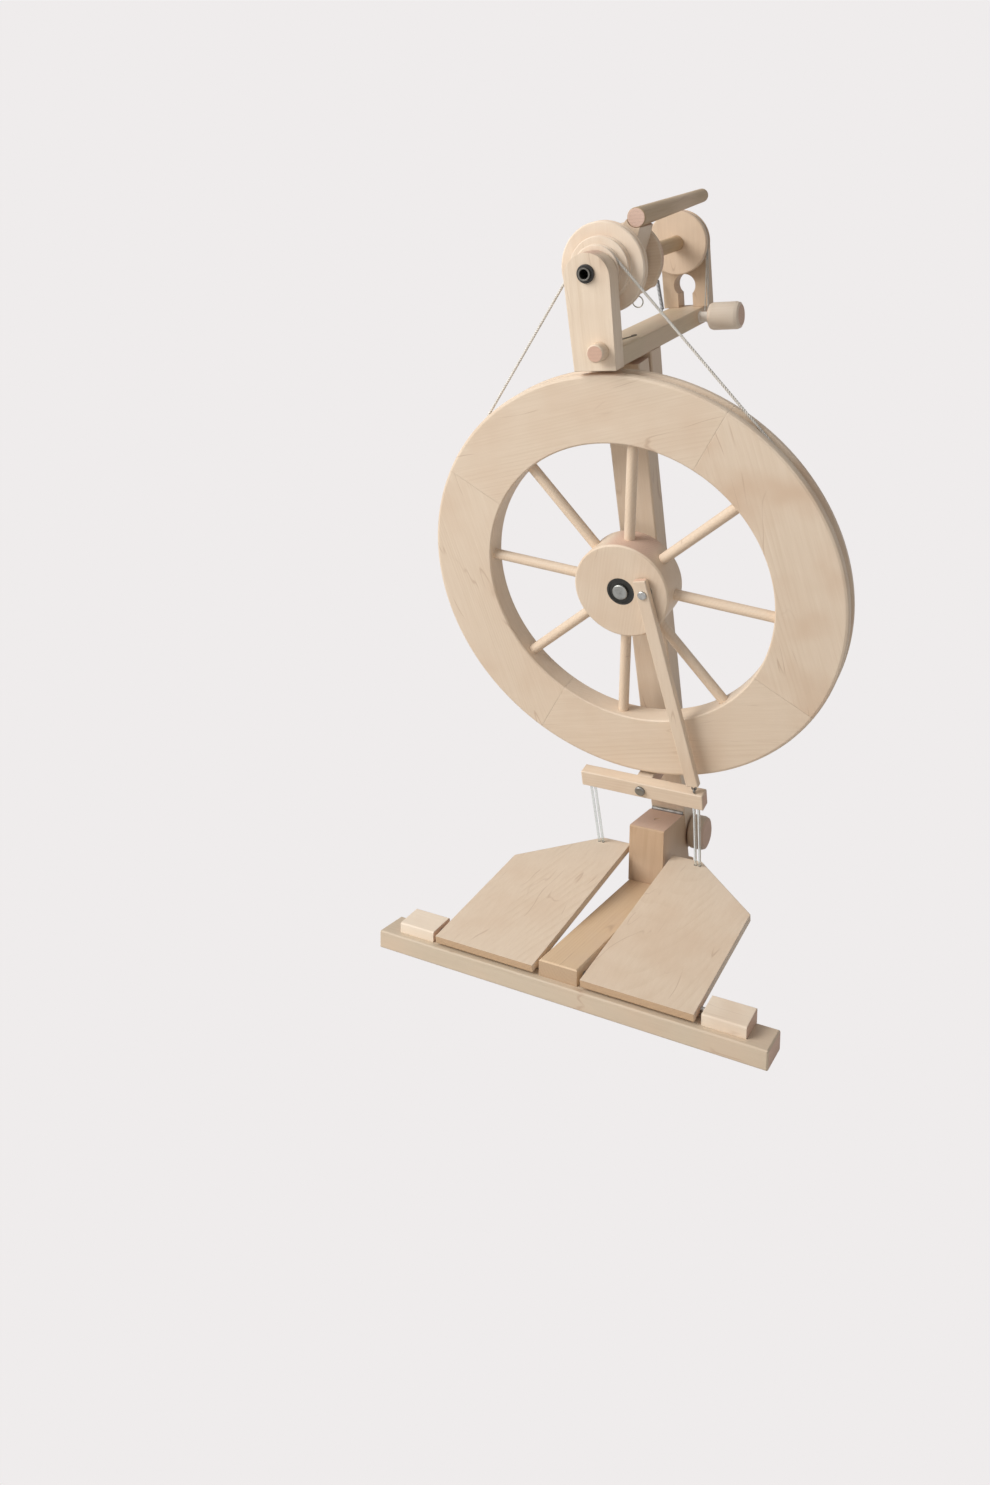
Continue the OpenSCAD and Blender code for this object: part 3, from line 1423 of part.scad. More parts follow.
// yoke that joins the orifice tube, the arms and the spindle
module yoke() color("BurlyWood") flyer_frame() difference() {
    translate([0, yoke_back, 0]) rotate([90, 0, 0]) {
        cylinder(h = yoke_t, r = yoke_r);
        linear_extrude(yoke_t) polygon([[-yoke_half, 0], [-yoke_end_half, yoke_end],
            [yoke_end_half, yoke_end], [yoke_half, 0], [flat_w / 2, -flat_r + flat_t / 2],
            [-flat_w / 2, -flat_r + flat_t / 2]]);
    }
    arm_frame() rotate([-90, 0, 0]) translate([0, 0, -eps])
        cylinder(h = yoke_t + 2 * eps, r1 = arm_at(-eps), r2 = arm_at(yoke_t + eps));
    rod_y_way(orifice_d / 2, yoke_front - eps, slit_front + eps);
    rod_y_way(spindle_d / 2, slit_back - eps, yoke_back + eps);
    translate([-yoke_r - eps, slit_front, -slit_half])
        cube([2 * yoke_r + 2 * eps, slit_back - slit_front, 2 * slit_half]);
}

// round arm of the flyer
module round_arm() color("Tan") flyer_frame() arm_frame() {
    r = arm_d / 2;
    tip = arm_tip_d / 2;
    rotate([-90, 0, 0]) rotate_extrude() {
        polygon([[0, 0], [r - soft_small, 0], [r, soft_small], [tip, arm_len - arm_soft],
            [0, arm_len - arm_soft]]);
        translate([0, arm_len - arm_soft]) {
            square([tip - arm_soft, arm_soft]);
            intersection() {
                translate([tip - arm_soft, 0]) circle(r = arm_soft);
                square([tip, arm_soft]);
            }
        }
    }
}

// flat arm of the flyer
module flat_arm() color("Tan") flyer_frame() {
    soft_box([-flat_w / 2, yoke_front, -flat_r - flat_t / 2],
        [flat_w / 2, yoke_front + flat_len, flat_t / 2 - flat_r], soft_mid);
}

// spindle behind the yoke
module spindle() color("Silver") flyer_frame() rod_y_way(spindle_d / 2, slit_back, spindle_end);

// sliding hook on the flat arm
module sliding_hook() color("DimGray") flyer_frame() translate([0, hook_y, -flat_r]) {
    a = flat_w / 2 + run;
    b = flat_t / 2 + run;
    translate([0, clip_len / 2, 0]) rotate([90, 0, 0]) linear_extrude(clip_len) difference() {
        square([2 * a + 2 * clip_t, 2 * b + 2 * clip_t], center = true);
        square([2 * a, 2 * b], center = true);
    }
    translate([a + clip_t + hoop_r - hoop_in, 0, -b - hoop_r + hoop_up])
        rotate([90, 0, 0]) rotate_extrude() translate([hoop_r, 0]) circle(r = hoop_wire, $fn = 24);
}

// core of the bobbin
module bobbin_core() color("BurlyWood") head_frame() translate([0, 0, flyer_u]) {
    turned([[bobbin_bore / 2, disc_front], [core_d / 2, disc_front], [core_d / 2, bobbin_end],
        [bobbin_bore / 2, bobbin_end]]);
}

// front disc of the bobbin
module bobbin_front_disc() color("BurlyWood") head_frame() translate([0, 0, flyer_u]) {
    r = bobbin_front_d / 2;
    turned([[core_d / 2, disc_front], [r - disc_soft, disc_front],
        [r - corner_share * disc_soft, disc_front + corner_share * disc_soft],
        [r, disc_front + disc_soft], [r, disc_back - disc_soft],
        [r - corner_share * disc_soft, disc_back - corner_share * disc_soft], [r - disc_soft, disc_back],
        [core_d / 2, disc_back]]);
}

// rear disc of the bobbin, with the brake's groove
module bobbin_rear_disc() color("BurlyWood") head_frame() translate([0, 0, flyer_u]) {
    r = bobbin_rear_d / 2;
    turned([[core_d / 2, rear_disc_front], [r - rear_soft, rear_disc_front], [r, rear_disc_front + rear_soft],
        [r, brake_y - brake_half], [r - brake_cut, brake_y - brake_half + brake_slope],
        [r - brake_cut, brake_y + brake_half - brake_slope], [r, brake_y + brake_half],
        [r, rear_disc_back - rear_soft], [r - rear_soft, rear_disc_back], [core_d / 2, rear_disc_back]]);
}

// bushings in the bobbin's ends
module bobbin_bushings() color("Ivory") head_frame() translate([0, 0, flyer_u]) {
    for (y = [disc_front - bush_out, bobbin_end + bush_out - bush_len])
        turned([[spindle_d / 2 + run, y],
            [bobbin_bore / 2, y], [bobbin_bore / 2, y + bush_len], [spindle_d / 2 + run, y + bush_len]]);
}

// handle of the orifice hook
module hook_handle() color("Tan") head_frame() translate([peg_x, 0, peg_u]) difference() {
    soft_disc(peg_r, maiden_front - peg_proud, -bar_fore, soft);
    translate([0, 0, peg_lift]) rod_y_way(peg_wire, -bar_fore - wire_in, eps - bar_fore);
}

// wire of the orifice hook
module hook_wire() color("DimGray") head_frame() {
    a = [peg_x, -bar_fore, peg_u + peg_lift];
    w = unit(peg_end - a);
    side = square_to([1, 0, 0], w);
    tube(concat([a - [0, wire_in, 0], a - [0, wire_out, 0]], [for (k = [1:6]) a + (peg_end - a) * k / 6],
        arc(peg_end - hook_r * side, hook_r, side, w, 20, 180, 6),
        [peg_end - 2 * hook_r * side - hook_tail * w]), peg_wire, 8);
}

// names of all pieces
// the piece to draw

front_bar();
spine();
hinge_block();
pivot_block_right();
pivot_block_left();
treadle_rods();
hinge_leaf_lower();
hinge_leaf_upper();
post();
axle();
axle_spacer();
rocker_block();
rocker_bolt();
drive_band();
tilt_plates();
tilt_pin();
lock_bolt();
lock_knob();
rim_piece_1();
rim_piece_2();
rim_piece_3();
rim_piece_4();
spokes();
hub();
bearings();
crank_boss();
footman();
crank_screw();
footman_eye();
rocker();
rocker_eye();
treadle_right();
treadle_left();
treadle_cord_right();
treadle_cord_left();
stem();
head_bar();
front_maiden();
rear_maiden();
orifice_bushing();
rear_bushing();
brake_eye_screw();
brake_spring();
brake_cord();
tension_screw();
brake_sleeve();
brake_knob();
orifice_tube();
whorl();
yoke();
round_arm();
flat_arm();
spindle();
sliding_hook();
bobbin_core();
bobbin_front_disc();
bobbin_rear_disc();
bobbin_bushings();
hook_handle();
hook_wire();
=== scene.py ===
import math
import bpy
from mathutils import Matrix, Vector


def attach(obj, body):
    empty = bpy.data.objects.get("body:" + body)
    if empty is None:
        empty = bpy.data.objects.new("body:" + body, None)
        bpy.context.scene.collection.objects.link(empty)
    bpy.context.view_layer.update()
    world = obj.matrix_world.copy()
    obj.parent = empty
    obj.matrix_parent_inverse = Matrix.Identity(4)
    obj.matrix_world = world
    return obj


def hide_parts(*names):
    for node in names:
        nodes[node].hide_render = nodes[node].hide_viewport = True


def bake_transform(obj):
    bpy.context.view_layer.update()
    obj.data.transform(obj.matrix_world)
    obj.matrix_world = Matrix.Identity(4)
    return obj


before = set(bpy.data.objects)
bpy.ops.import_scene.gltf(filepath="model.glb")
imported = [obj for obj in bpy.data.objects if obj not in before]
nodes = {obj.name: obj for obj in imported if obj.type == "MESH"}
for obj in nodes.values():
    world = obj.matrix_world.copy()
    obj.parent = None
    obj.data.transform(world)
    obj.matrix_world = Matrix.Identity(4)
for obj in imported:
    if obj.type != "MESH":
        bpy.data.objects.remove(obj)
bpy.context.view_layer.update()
print("frame loaded with", len(nodes), "nodes")

mm = 0.001

# where the tilted parts stand, in millimetres, as in the part's source
layout = {
    "halfDepth": 175.966,  # front face to the middle of the whole depth
    "hinge": (306.6, 106.0),  # the post's hinge pin, back and up
    "lean": math.radians(18.4),  # of the post, forwards from its hinge at the back
    "headBack": math.radians(2.8),  # how far the head tips back from the post
    "tilt": (46.0, 490.0),  # the head's tilt pin, on the post
    "rod": (24.0, 27.0),  # the treadle rods, back and up
    "treadleAngles": {1: math.radians(9.3), -1: math.radians(10.0)},
    "rockerUp": 80.0,  # the rocker's bolt, along the post
    "rockerAngle": math.radians(1.3),
    "armAngle": math.radians(34),  # the flyer's yoke, at rest
    "wheel": (-40.0, 335.6),  # the drive wheel's middle, in the plane of its groove
    "flyerUp": 183.0,  # the flyer's axis, on the head
}


# x runs across, w behind the post's own line and u up along it
def fromPost(x, w, u):
    lean = layout["lean"]
    y = layout["hinge"][0] - layout["halfDepth"] + w * math.cos(lean) - u * math.sin(lean)
    z = layout["hinge"][1] + w * math.sin(lean) + u * math.cos(lean)
    return Vector((x, y, z)) * mm


def fromHead(x, w, u):
    back = layout["headBack"]
    return fromPost(
        x,
        layout["tilt"][0] + w * math.cos(back) + u * math.sin(back),
        layout["tilt"][1] - w * math.sin(back) + u * math.cos(back),
    )


def fromTreadle(side, x, y, z):
    angle = layout["treadleAngles"][side]
    return Vector((
        x,
        layout["rod"][0] - layout["halfDepth"] + y * math.cos(angle) - z * math.sin(angle),
        layout["rod"][1] + y * math.sin(angle) + z * math.cos(angle),
    )) * mm


def fromRocker(x, w, u):
    turn = layout["rockerAngle"]
    return fromPost(
        x * math.cos(turn) + u * math.sin(turn),
        w,
        layout["rockerUp"] - x * math.sin(turn) + u * math.cos(turn),
    )


xAxis = Vector((1, 0, 0))
yAxis = Vector((0, 1, 0))
zAxis = Vector((0, 0, 1))
postUp = (fromPost(0, 0, 1000) - fromPost(0, 0, 0)).normalized()
postBack = (fromPost(0, 1000, 0) - fromPost(0, 0, 0)).normalized()
headUp = (fromHead(0, 0, 1000) - fromHead(0, 0, 0)).normalized()
headBack = (fromHead(0, 1000, 0) - fromHead(0, 0, 0)).normalized()
armUp = (
    headUp * math.cos(layout["armAngle"]) + xAxis * math.sin(layout["armAngle"])
).normalized()


# a direction in the plane of the drive wheel
def onWheel(degrees):
    angle = math.radians(degrees)
    return (xAxis * math.cos(angle) + postUp * math.sin(angle)).normalized()


# screen colour, 0 to 255, to the linear values that Blender wants
def linear(*parts):
    shares = [part / 255 for part in parts]
    return tuple(
        share / 12.92 if share <= 0.04045 else ((share + 0.055) / 1.055) ** 2.4
        for share in shares
    ) + (1.0,)


class Wire:  # one socket, with arithmetic
    def __init__(self, graph, socket):
        self.graph = graph
        self.socket = socket

    def ask(self, operation, *others):
        return self.graph.add("ShaderNodeMath", [self, *others], operation=operation)

    def __add__(self, other):
        return self.ask("ADD", other)

    def __sub__(self, other):
        return self.ask("SUBTRACT", other)

    def __mul__(self, other):
        return self.ask("MULTIPLY", other)

    def __truediv__(self, other):
        return self.ask("DIVIDE", other)

    def __pow__(self, other):
        return self.ask("POWER", other)

    def __rsub__(self, other):
        return self.graph.add("ShaderNodeMath", [other, self], operation="SUBTRACT")

    __radd__ = __add__
    __rmul__ = __mul__

    def fraction(self):
        return self.ask("FRACT")

    def size(self):
        return self.ask("ABSOLUTE")

    def between(self, low, high):
        return self.graph.add(
            "ShaderNodeMapRange",
            {"Value": self, "From Min": low, "From Max": high},
            interpolation_type="SMOOTHSTEP",
        )


class Graph:  # a material's or the world's tree
    def __init__(self, owner):
        owner.use_nodes = True
        self.owner = owner
        self.tree = owner.node_tree
        self.tree.nodes.clear()

    # settings go first, because they decide which sockets the node has
    def make(self, kind, inputs=(), **settings):
        node = self.tree.nodes.new(kind)
        for key, value in settings.items():
            setattr(node, key, value)
        pairs = inputs.items() if isinstance(inputs, dict) else enumerate(inputs)
        for key, value in pairs:
            if isinstance(value, Wire):
                self.tree.links.new(value.socket, node.inputs[key])
            elif value is not None:
                node.inputs[key].default_value = value
        return node

    def add(self, kind, inputs=(), out=0, **settings):
        return Wire(self, self.make(kind, inputs, **settings).outputs[out])


def noise(graph, where, scale, detail=2.0, roughness=0.5, distortion=0.0):
    return graph.add("ShaderNodeTexNoise", {
        "Vector": where,
        "Scale": scale,
        "Detail": detail,
        "Roughness": roughness,
        "Distortion": distortion,
    })


# a small share along the grain draws the pattern out into long streaks
def stretched(graph, where, scales):
    return graph.add("ShaderNodeVectorMath", [where, scales], operation="MULTIPLY")


def bumped(graph, look, height, normal=None):
    return graph.add("ShaderNodeBump", {
        "Strength": look["bump"],
        "Distance": look["bumpHeight"],
        "Height": height,
        "Normal": normal,
    })


def blendColour(graph, share, first, second):
    return graph.add("ShaderNodeMix", {0: share, 6: first, 7: second}, out=2, data_type="RGBA")


def finishSurface(graph, values):
    surface = graph.add("ShaderNodeBsdfPrincipled", values)
    graph.make("ShaderNodeOutputMaterial", {"Surface": surface})
    return graph.owner


mapleLook = {
    "pale": linear(236, 219, 199),
    "deep": linear(206, 182, 154),
    "rosy": linear(218, 193, 168),
    "mark": linear(176, 144, 118),
    "end": linear(221, 190, 170),
    "endDeep": linear(176, 142, 120),
    "ringWidth": 0.0034,
    "pith": (0.055, 0.022, 0.013),  # where the middle of the tree lies
    "ringStrength": 0.17,
    "fibreStrength": 0.36,
    "markStrength": 0.4,  # the thin brown lines that maple has
    "rosyStrength": 0.5,
    "soften": 0.0012,  # how round the edges look
    "alongFine": 0.035,
    "alongSlow": 0.16,
    "wanderScale": 10,
    "wander": 0.03,
    "ringRise": (0.35, 0.95),
    "ringFall": (0.95, 1.0),
    "ringPatchScale": 34,
    "fibreScale": 1150,
    "bandScale": 260,
    "blotchScale": 13,
    "markScale": 30,
    "markPatchScale": 21,
    "markSharpness": 95,
    "baseDepth": 0.25,
    "endFacing": (0.82, 0.97),  # how square to the grain a face is before it shows end grain
    "poreScale": 1500,
    "poreShare": 0.35,
    "ringOnEnd": 0.14,
    "bump": 0.22,
    "bumpHeight": 0.0004,
    "rough": 0.44,
    "roughFibre": 0.16,
    "roughEnd": 0.1,
    "specular": 0.38,
}


def maple(name, grain, **changes):
    look = {**mapleLook, **changes}
    graph = Graph(bpy.data.materials.new(name))
    where = graph.add("ShaderNodeTexCoord", out="Object")
    facing = graph.add("ShaderNodeTexCoord", out="Normal")
    helper = xAxis if abs(grain.dot(xAxis)) < 0.8 else zAxis
    first = grain.cross(helper).normalized()
    # turned so that the pattern's z runs along the grain
    basis = Matrix((first, grain.cross(first), grain))
    local = graph.add(
        "ShaderNodeMapping",
        {"Vector": where, "Rotation": basis.to_euler("XYZ"), "Location": look["pith"]},
        vector_type="POINT",
    )
    fine = stretched(graph, local, (1, 1, look["alongFine"]))
    slow = stretched(graph, local, (1, 1, look["alongSlow"]))
    parts = graph.make("ShaderNodeSeparateXYZ", [local]).outputs
    x, y = Wire(graph, parts["X"]), Wire(graph, parts["Y"])
    wander = noise(graph, slow, look["wanderScale"], 2)
    distance = ((x * x) + (y * y)) ** 0.5 + (wander - 0.5) * look["wander"]
    ring = (distance / look["ringWidth"]).fraction()
    ringLine = ring.between(*look["ringRise"]) * (1 - ring.between(*look["ringFall"]))
    ringShare = noise(graph, slow, look["ringPatchScale"], 1).between(0.35, 0.7)
    fibre = noise(graph, fine, look["fibreScale"], 3, 0.62)
    band = noise(graph, fine, look["bandScale"], 2, 0.55)
    blotch = noise(graph, where, look["blotchScale"], 2, 0.5)
    field = noise(graph, slow, look["markScale"], 2, 0.4, 0.3)
    markPatch = noise(graph, where, look["markPatchScale"], 1)
    markLine = 1 - ((field - 0.5).size() * look["markSharpness"]).between(0.0, 1.0)
    mark = markLine * markPatch.between(0.5, 0.66)
    depth = (
        ringLine * ringShare * look["ringStrength"]
        + (fibre - 0.45) * look["fibreStrength"]
        + (band - 0.5) * look["fibreStrength"]
        + look["baseDepth"]
    )
    depth = graph.add("ShaderNodeClamp", [depth])
    colour = blendColour(graph, depth, look["pale"], look["deep"])
    rosyShare = blotch.between(0.42, 0.72) * look["rosyStrength"]
    colour = blendColour(graph, rosyShare, colour, look["rosy"])
    colour = blendColour(graph, mark * look["markStrength"], colour, look["mark"])
    across = graph.add(
        "ShaderNodeVectorMath", [facing, tuple(grain)], out="Value", operation="DOT_PRODUCT"
    )
    endShare = across.size().between(*look["endFacing"])
    pores = noise(graph, local, look["poreScale"], 2, 0.7).between(0.42, 0.7)
    endDepth = pores * look["poreShare"] + ringLine * look["ringOnEnd"]
    endColour = blendColour(graph, endDepth, look["end"], look["endDeep"])
    colour = blendColour(graph, endShare, colour, endColour)
    height = fibre * 0.6 + band * 0.25 + mark * -0.4 + pores * endShare * 0.6
    soft = graph.add("ShaderNodeBevel", {"Radius": look["soften"]}, samples=4)
    return finishSurface(graph, {
        "Base Color": colour,
        "Roughness": look["rough"] + fibre * look["roughFibre"] + endShare * look["roughEnd"],
        "Normal": bumped(graph, look, height, soft),
        "Specular IOR Level": look["specular"],
    })


steelLook = {
    "tone": linear(188, 188, 186),
    "dark": linear(120, 119, 116),
    "metal": 1.0,
    "rough": 0.32,
    "scale": 900,
    "grindAlong": 0.12,  # the brushing runs back along y
    "stainScale": 120,
    "stainShare": 0.6,
    "grindShare": 0.3,
    "soften": 0.0003,
    "bump": 0.15,
    "bumpHeight": 0.0001,
}


def steel(name, **changes):
    look = {**steelLook, **changes}
    graph = Graph(bpy.data.materials.new(name))
    where = graph.add("ShaderNodeTexCoord", out="Object")
    brushed = stretched(graph, where, (1, look["grindAlong"], 1))
    grind = noise(graph, brushed, look["scale"], 3, 0.6)
    stain = noise(graph, where, look["stainScale"], 3, 0.6)
    darker = stain.between(0.35, 0.75) * look["stainShare"] + grind * look["grindShare"]
    colour = blendColour(graph, darker, look["tone"], look["dark"])
    soft = graph.add("ShaderNodeBevel", {"Radius": look["soften"]}, samples=4)
    return finishSurface(graph, {
        "Base Color": colour,
        "Metallic": look["metal"],
        "Roughness": look["rough"] + grind * 0.2 + stain * 0.08,
        "Normal": bumped(graph, look, grind, soft),
    })


plasticLook = {
    "tone": linear(30, 29, 27),
    "worn": linear(62, 60, 56),
    "rough": 0.4,
    "scale": 2200,
    "scuffScale": 260,
    "transmission": 0.0,
    "bump": 0.12,
    "bumpHeight": 0.0001,
}


def plastic(name, **changes):
    look = {**plasticLook, **changes}
    graph = Graph(bpy.data.materials.new(name))
    where = graph.add("ShaderNodeTexCoord", out="Object")
    grain = noise(graph, where, look["scale"], 2, 0.6)
    scuff = noise(graph, where, look["scuffScale"], 4, 0.65)
    colour = blendColour(graph, scuff.between(0.5, 0.8) * 0.6, look["tone"], look["worn"])
    return finishSurface(graph, {
        "Base Color": colour,
        "Roughness": look["rough"] + scuff * 0.15,
        "Normal": bumped(graph, look, grain),
        "Transmission Weight": look["transmission"],
    })


cottonLook = {
    "tone": linear(240, 237, 231),
    "shade": linear(205, 199, 189),
    "scale": 2600,
    "slubScale": 160,
    "rough": 0.82,
    "specular": 0.2,
    "bump": 0.5,
    "bumpHeight": 0.0002,
}


def cotton(name, **changes):
    look = {**cottonLook, **changes}
    graph = Graph(bpy.data.materials.new(name))
    where = graph.add("ShaderNodeTexCoord", out="Object")
    fuzz = noise(graph, where, look["scale"], 3, 0.7)
    slub = noise(graph, where, look["slubScale"], 2, 0.5)
    darker = fuzz * 0.6 + slub.between(0.4, 0.8) * 0.35
    return finishSurface(graph, {
        "Base Color": blendColour(graph, darker, look["tone"], look["shade"]),
        "Roughness": look["rough"] + fuzz * 0.1,
        "Normal": bumped(graph, look, fuzz),
        "Specular IOR Level": look["specular"],
    })


# a line of points becomes one or more plies wound round each other
def twistedLine():
    tree = bpy.data.node_groups.new("twistedLine", "GeometryNodeTree")
    tree.interface.new_socket("Geometry", in_out="INPUT", socket_type="NodeSocketGeometry")
    kinds = [
        ("Points", "NodeSocketInt"),
        ("Plies", "NodeSocketInt"),
        ("Turns", "NodeSocketFloat"),
        ("Wind Radius", "NodeSocketFloat"),
        ("Strand Radius", "NodeSocketFloat"),
        ("Sides", "NodeSocketInt"),
        ("Finish", "NodeSocketMaterial"),
    ]
    names = {
        label: tree.interface.new_socket(label, in_out="INPUT", socket_type=kind).identifier
        for label, kind in kinds
    }
    tree.interface.new_socket("Geometry", in_out="OUTPUT", socket_type="NodeSocketGeometry")

    def put(kind, inputs=(), **settings):
        node = tree.nodes.new(kind)
        for key, value in settings.items():
            setattr(node, key, value)
        for key, value in dict(inputs).items():
            if isinstance(value, bpy.types.NodeSocket):
                tree.links.new(value, node.inputs[key])
            else:
                node.inputs[key].default_value = value
        return node

    def maths(operation, *values):
        return put("ShaderNodeMath", dict(enumerate(values)), operation=operation).outputs[0]

    def vectors(operation, inputs):
        return put("ShaderNodeVectorMath", inputs, operation=operation).outputs[0]

    entry = put("NodeGroupInput").outputs
    line = put("GeometryNodeMeshToCurve", {"Mesh": entry["Geometry"]})
    even = put(
        "GeometryNodeResampleCurve",
        {"Curve": line.outputs[0], "Count": entry["Points"]},
    )
    plies = put(
        "GeometryNodeDuplicateElements",
        {"Geometry": even.outputs[0], "Amount": entry["Plies"]},
        domain="SPLINE",
    )
    along = put("GeometryNodeSplineParameter").outputs["Factor"]
    turned = maths("MULTIPLY", along, entry["Turns"])
    share = maths("DIVIDE", plies.outputs[1], entry["Plies"])
    angle = maths("MULTIPLY", maths("ADD", turned, share), 2 * math.pi)
    normal = put("GeometryNodeInputNormal").outputs["Normal"]
    tangent = put("GeometryNodeInputTangent").outputs[0]
    beside = vectors("CROSS_PRODUCT", {0: tangent, 1: normal})
    partA = vectors("SCALE", {0: normal, "Scale": maths("COSINE", angle)})
    partB = vectors("SCALE", {0: beside, "Scale": maths("SINE", angle)})
    both = vectors("ADD", {0: partA, 1: partB})
    offset = vectors("SCALE", {0: both, "Scale": entry["Wind Radius"]})
    wound = put("GeometryNodeSetPosition", {"Geometry": plies.outputs[0], "Offset": offset})
    ring = put(
        "GeometryNodeCurvePrimitiveCircle",
        {"Resolution": entry["Sides"], "Radius": entry["Strand Radius"]},
    )
    skin = put(
        "GeometryNodeCurveToMesh",
        {"Curve": wound.outputs[0], "Profile Curve": ring.outputs[0], "Fill Caps": True},
    )
    smooth = put("GeometryNodeSetShadeSmooth", {0: skin.outputs[0]})
    real = put("GeometryNodeRealizeInstances", {0: smooth.outputs[0]})
    dressed = put(
        "GeometryNodeSetMaterial",
        {"Geometry": real.outputs[0], "Material": entry["Finish"]},
    )
    put("NodeGroupOutput", {0: dressed.outputs[0]})
    return tree, names


lineTree, lineInputs = twistedLine()
singleStrand = {"Plies": 1, "Turns": 0.0, "Wind Radius": 0.0}


def follow(name, points, closed, settings):
    mesh = bpy.data.meshes.new(name + "Route")
    count = len(points)
    edges = [(i, (i + 1) % count) for i in range(count if closed else count - 1)]
    mesh.from_pydata([tuple(p) for p in points], edges, [])
    carrier = bpy.data.objects.new(name + "Route", mesh)
    bpy.context.scene.collection.objects.link(carrier)
    modifier = carrier.modifiers.new("line", "NODES")
    modifier.node_group = lineTree
    for label, value in settings.items():
        modifier[lineInputs[label]] = value
    carrier.update_tag()
    bpy.context.view_layer.update()
    evaluated = carrier.evaluated_get(bpy.context.evaluated_depsgraph_get())
    solid = bpy.data.meshes.new_from_object(evaluated)
    solid.name = name
    bpy.data.objects.remove(carrier)
    bpy.data.meshes.remove(mesh)
    if not solid.materials:
        solid.materials.append(settings["Finish"])
    piece = bpy.data.objects.new(name, solid)
    bpy.context.scene.collection.objects.link(piece)
    return piece


def arc(centre, radius, first, second, start, end, steps):
    return [
        centre + first * (radius * mm * math.cos(a)) + second * (radius * mm * math.sin(a))
        for a in (math.radians(start + (end - start) * i / steps) for i in range(steps + 1))
    ]


def length(points):
    return sum((b - a).length for a, b in zip(points, points[1:]))


rimSeam = 56.7  # degrees, the first joint between two rim pieces


def rimGrain(piece):
    return onWheel(rimSeam + 45 + 90 * piece)


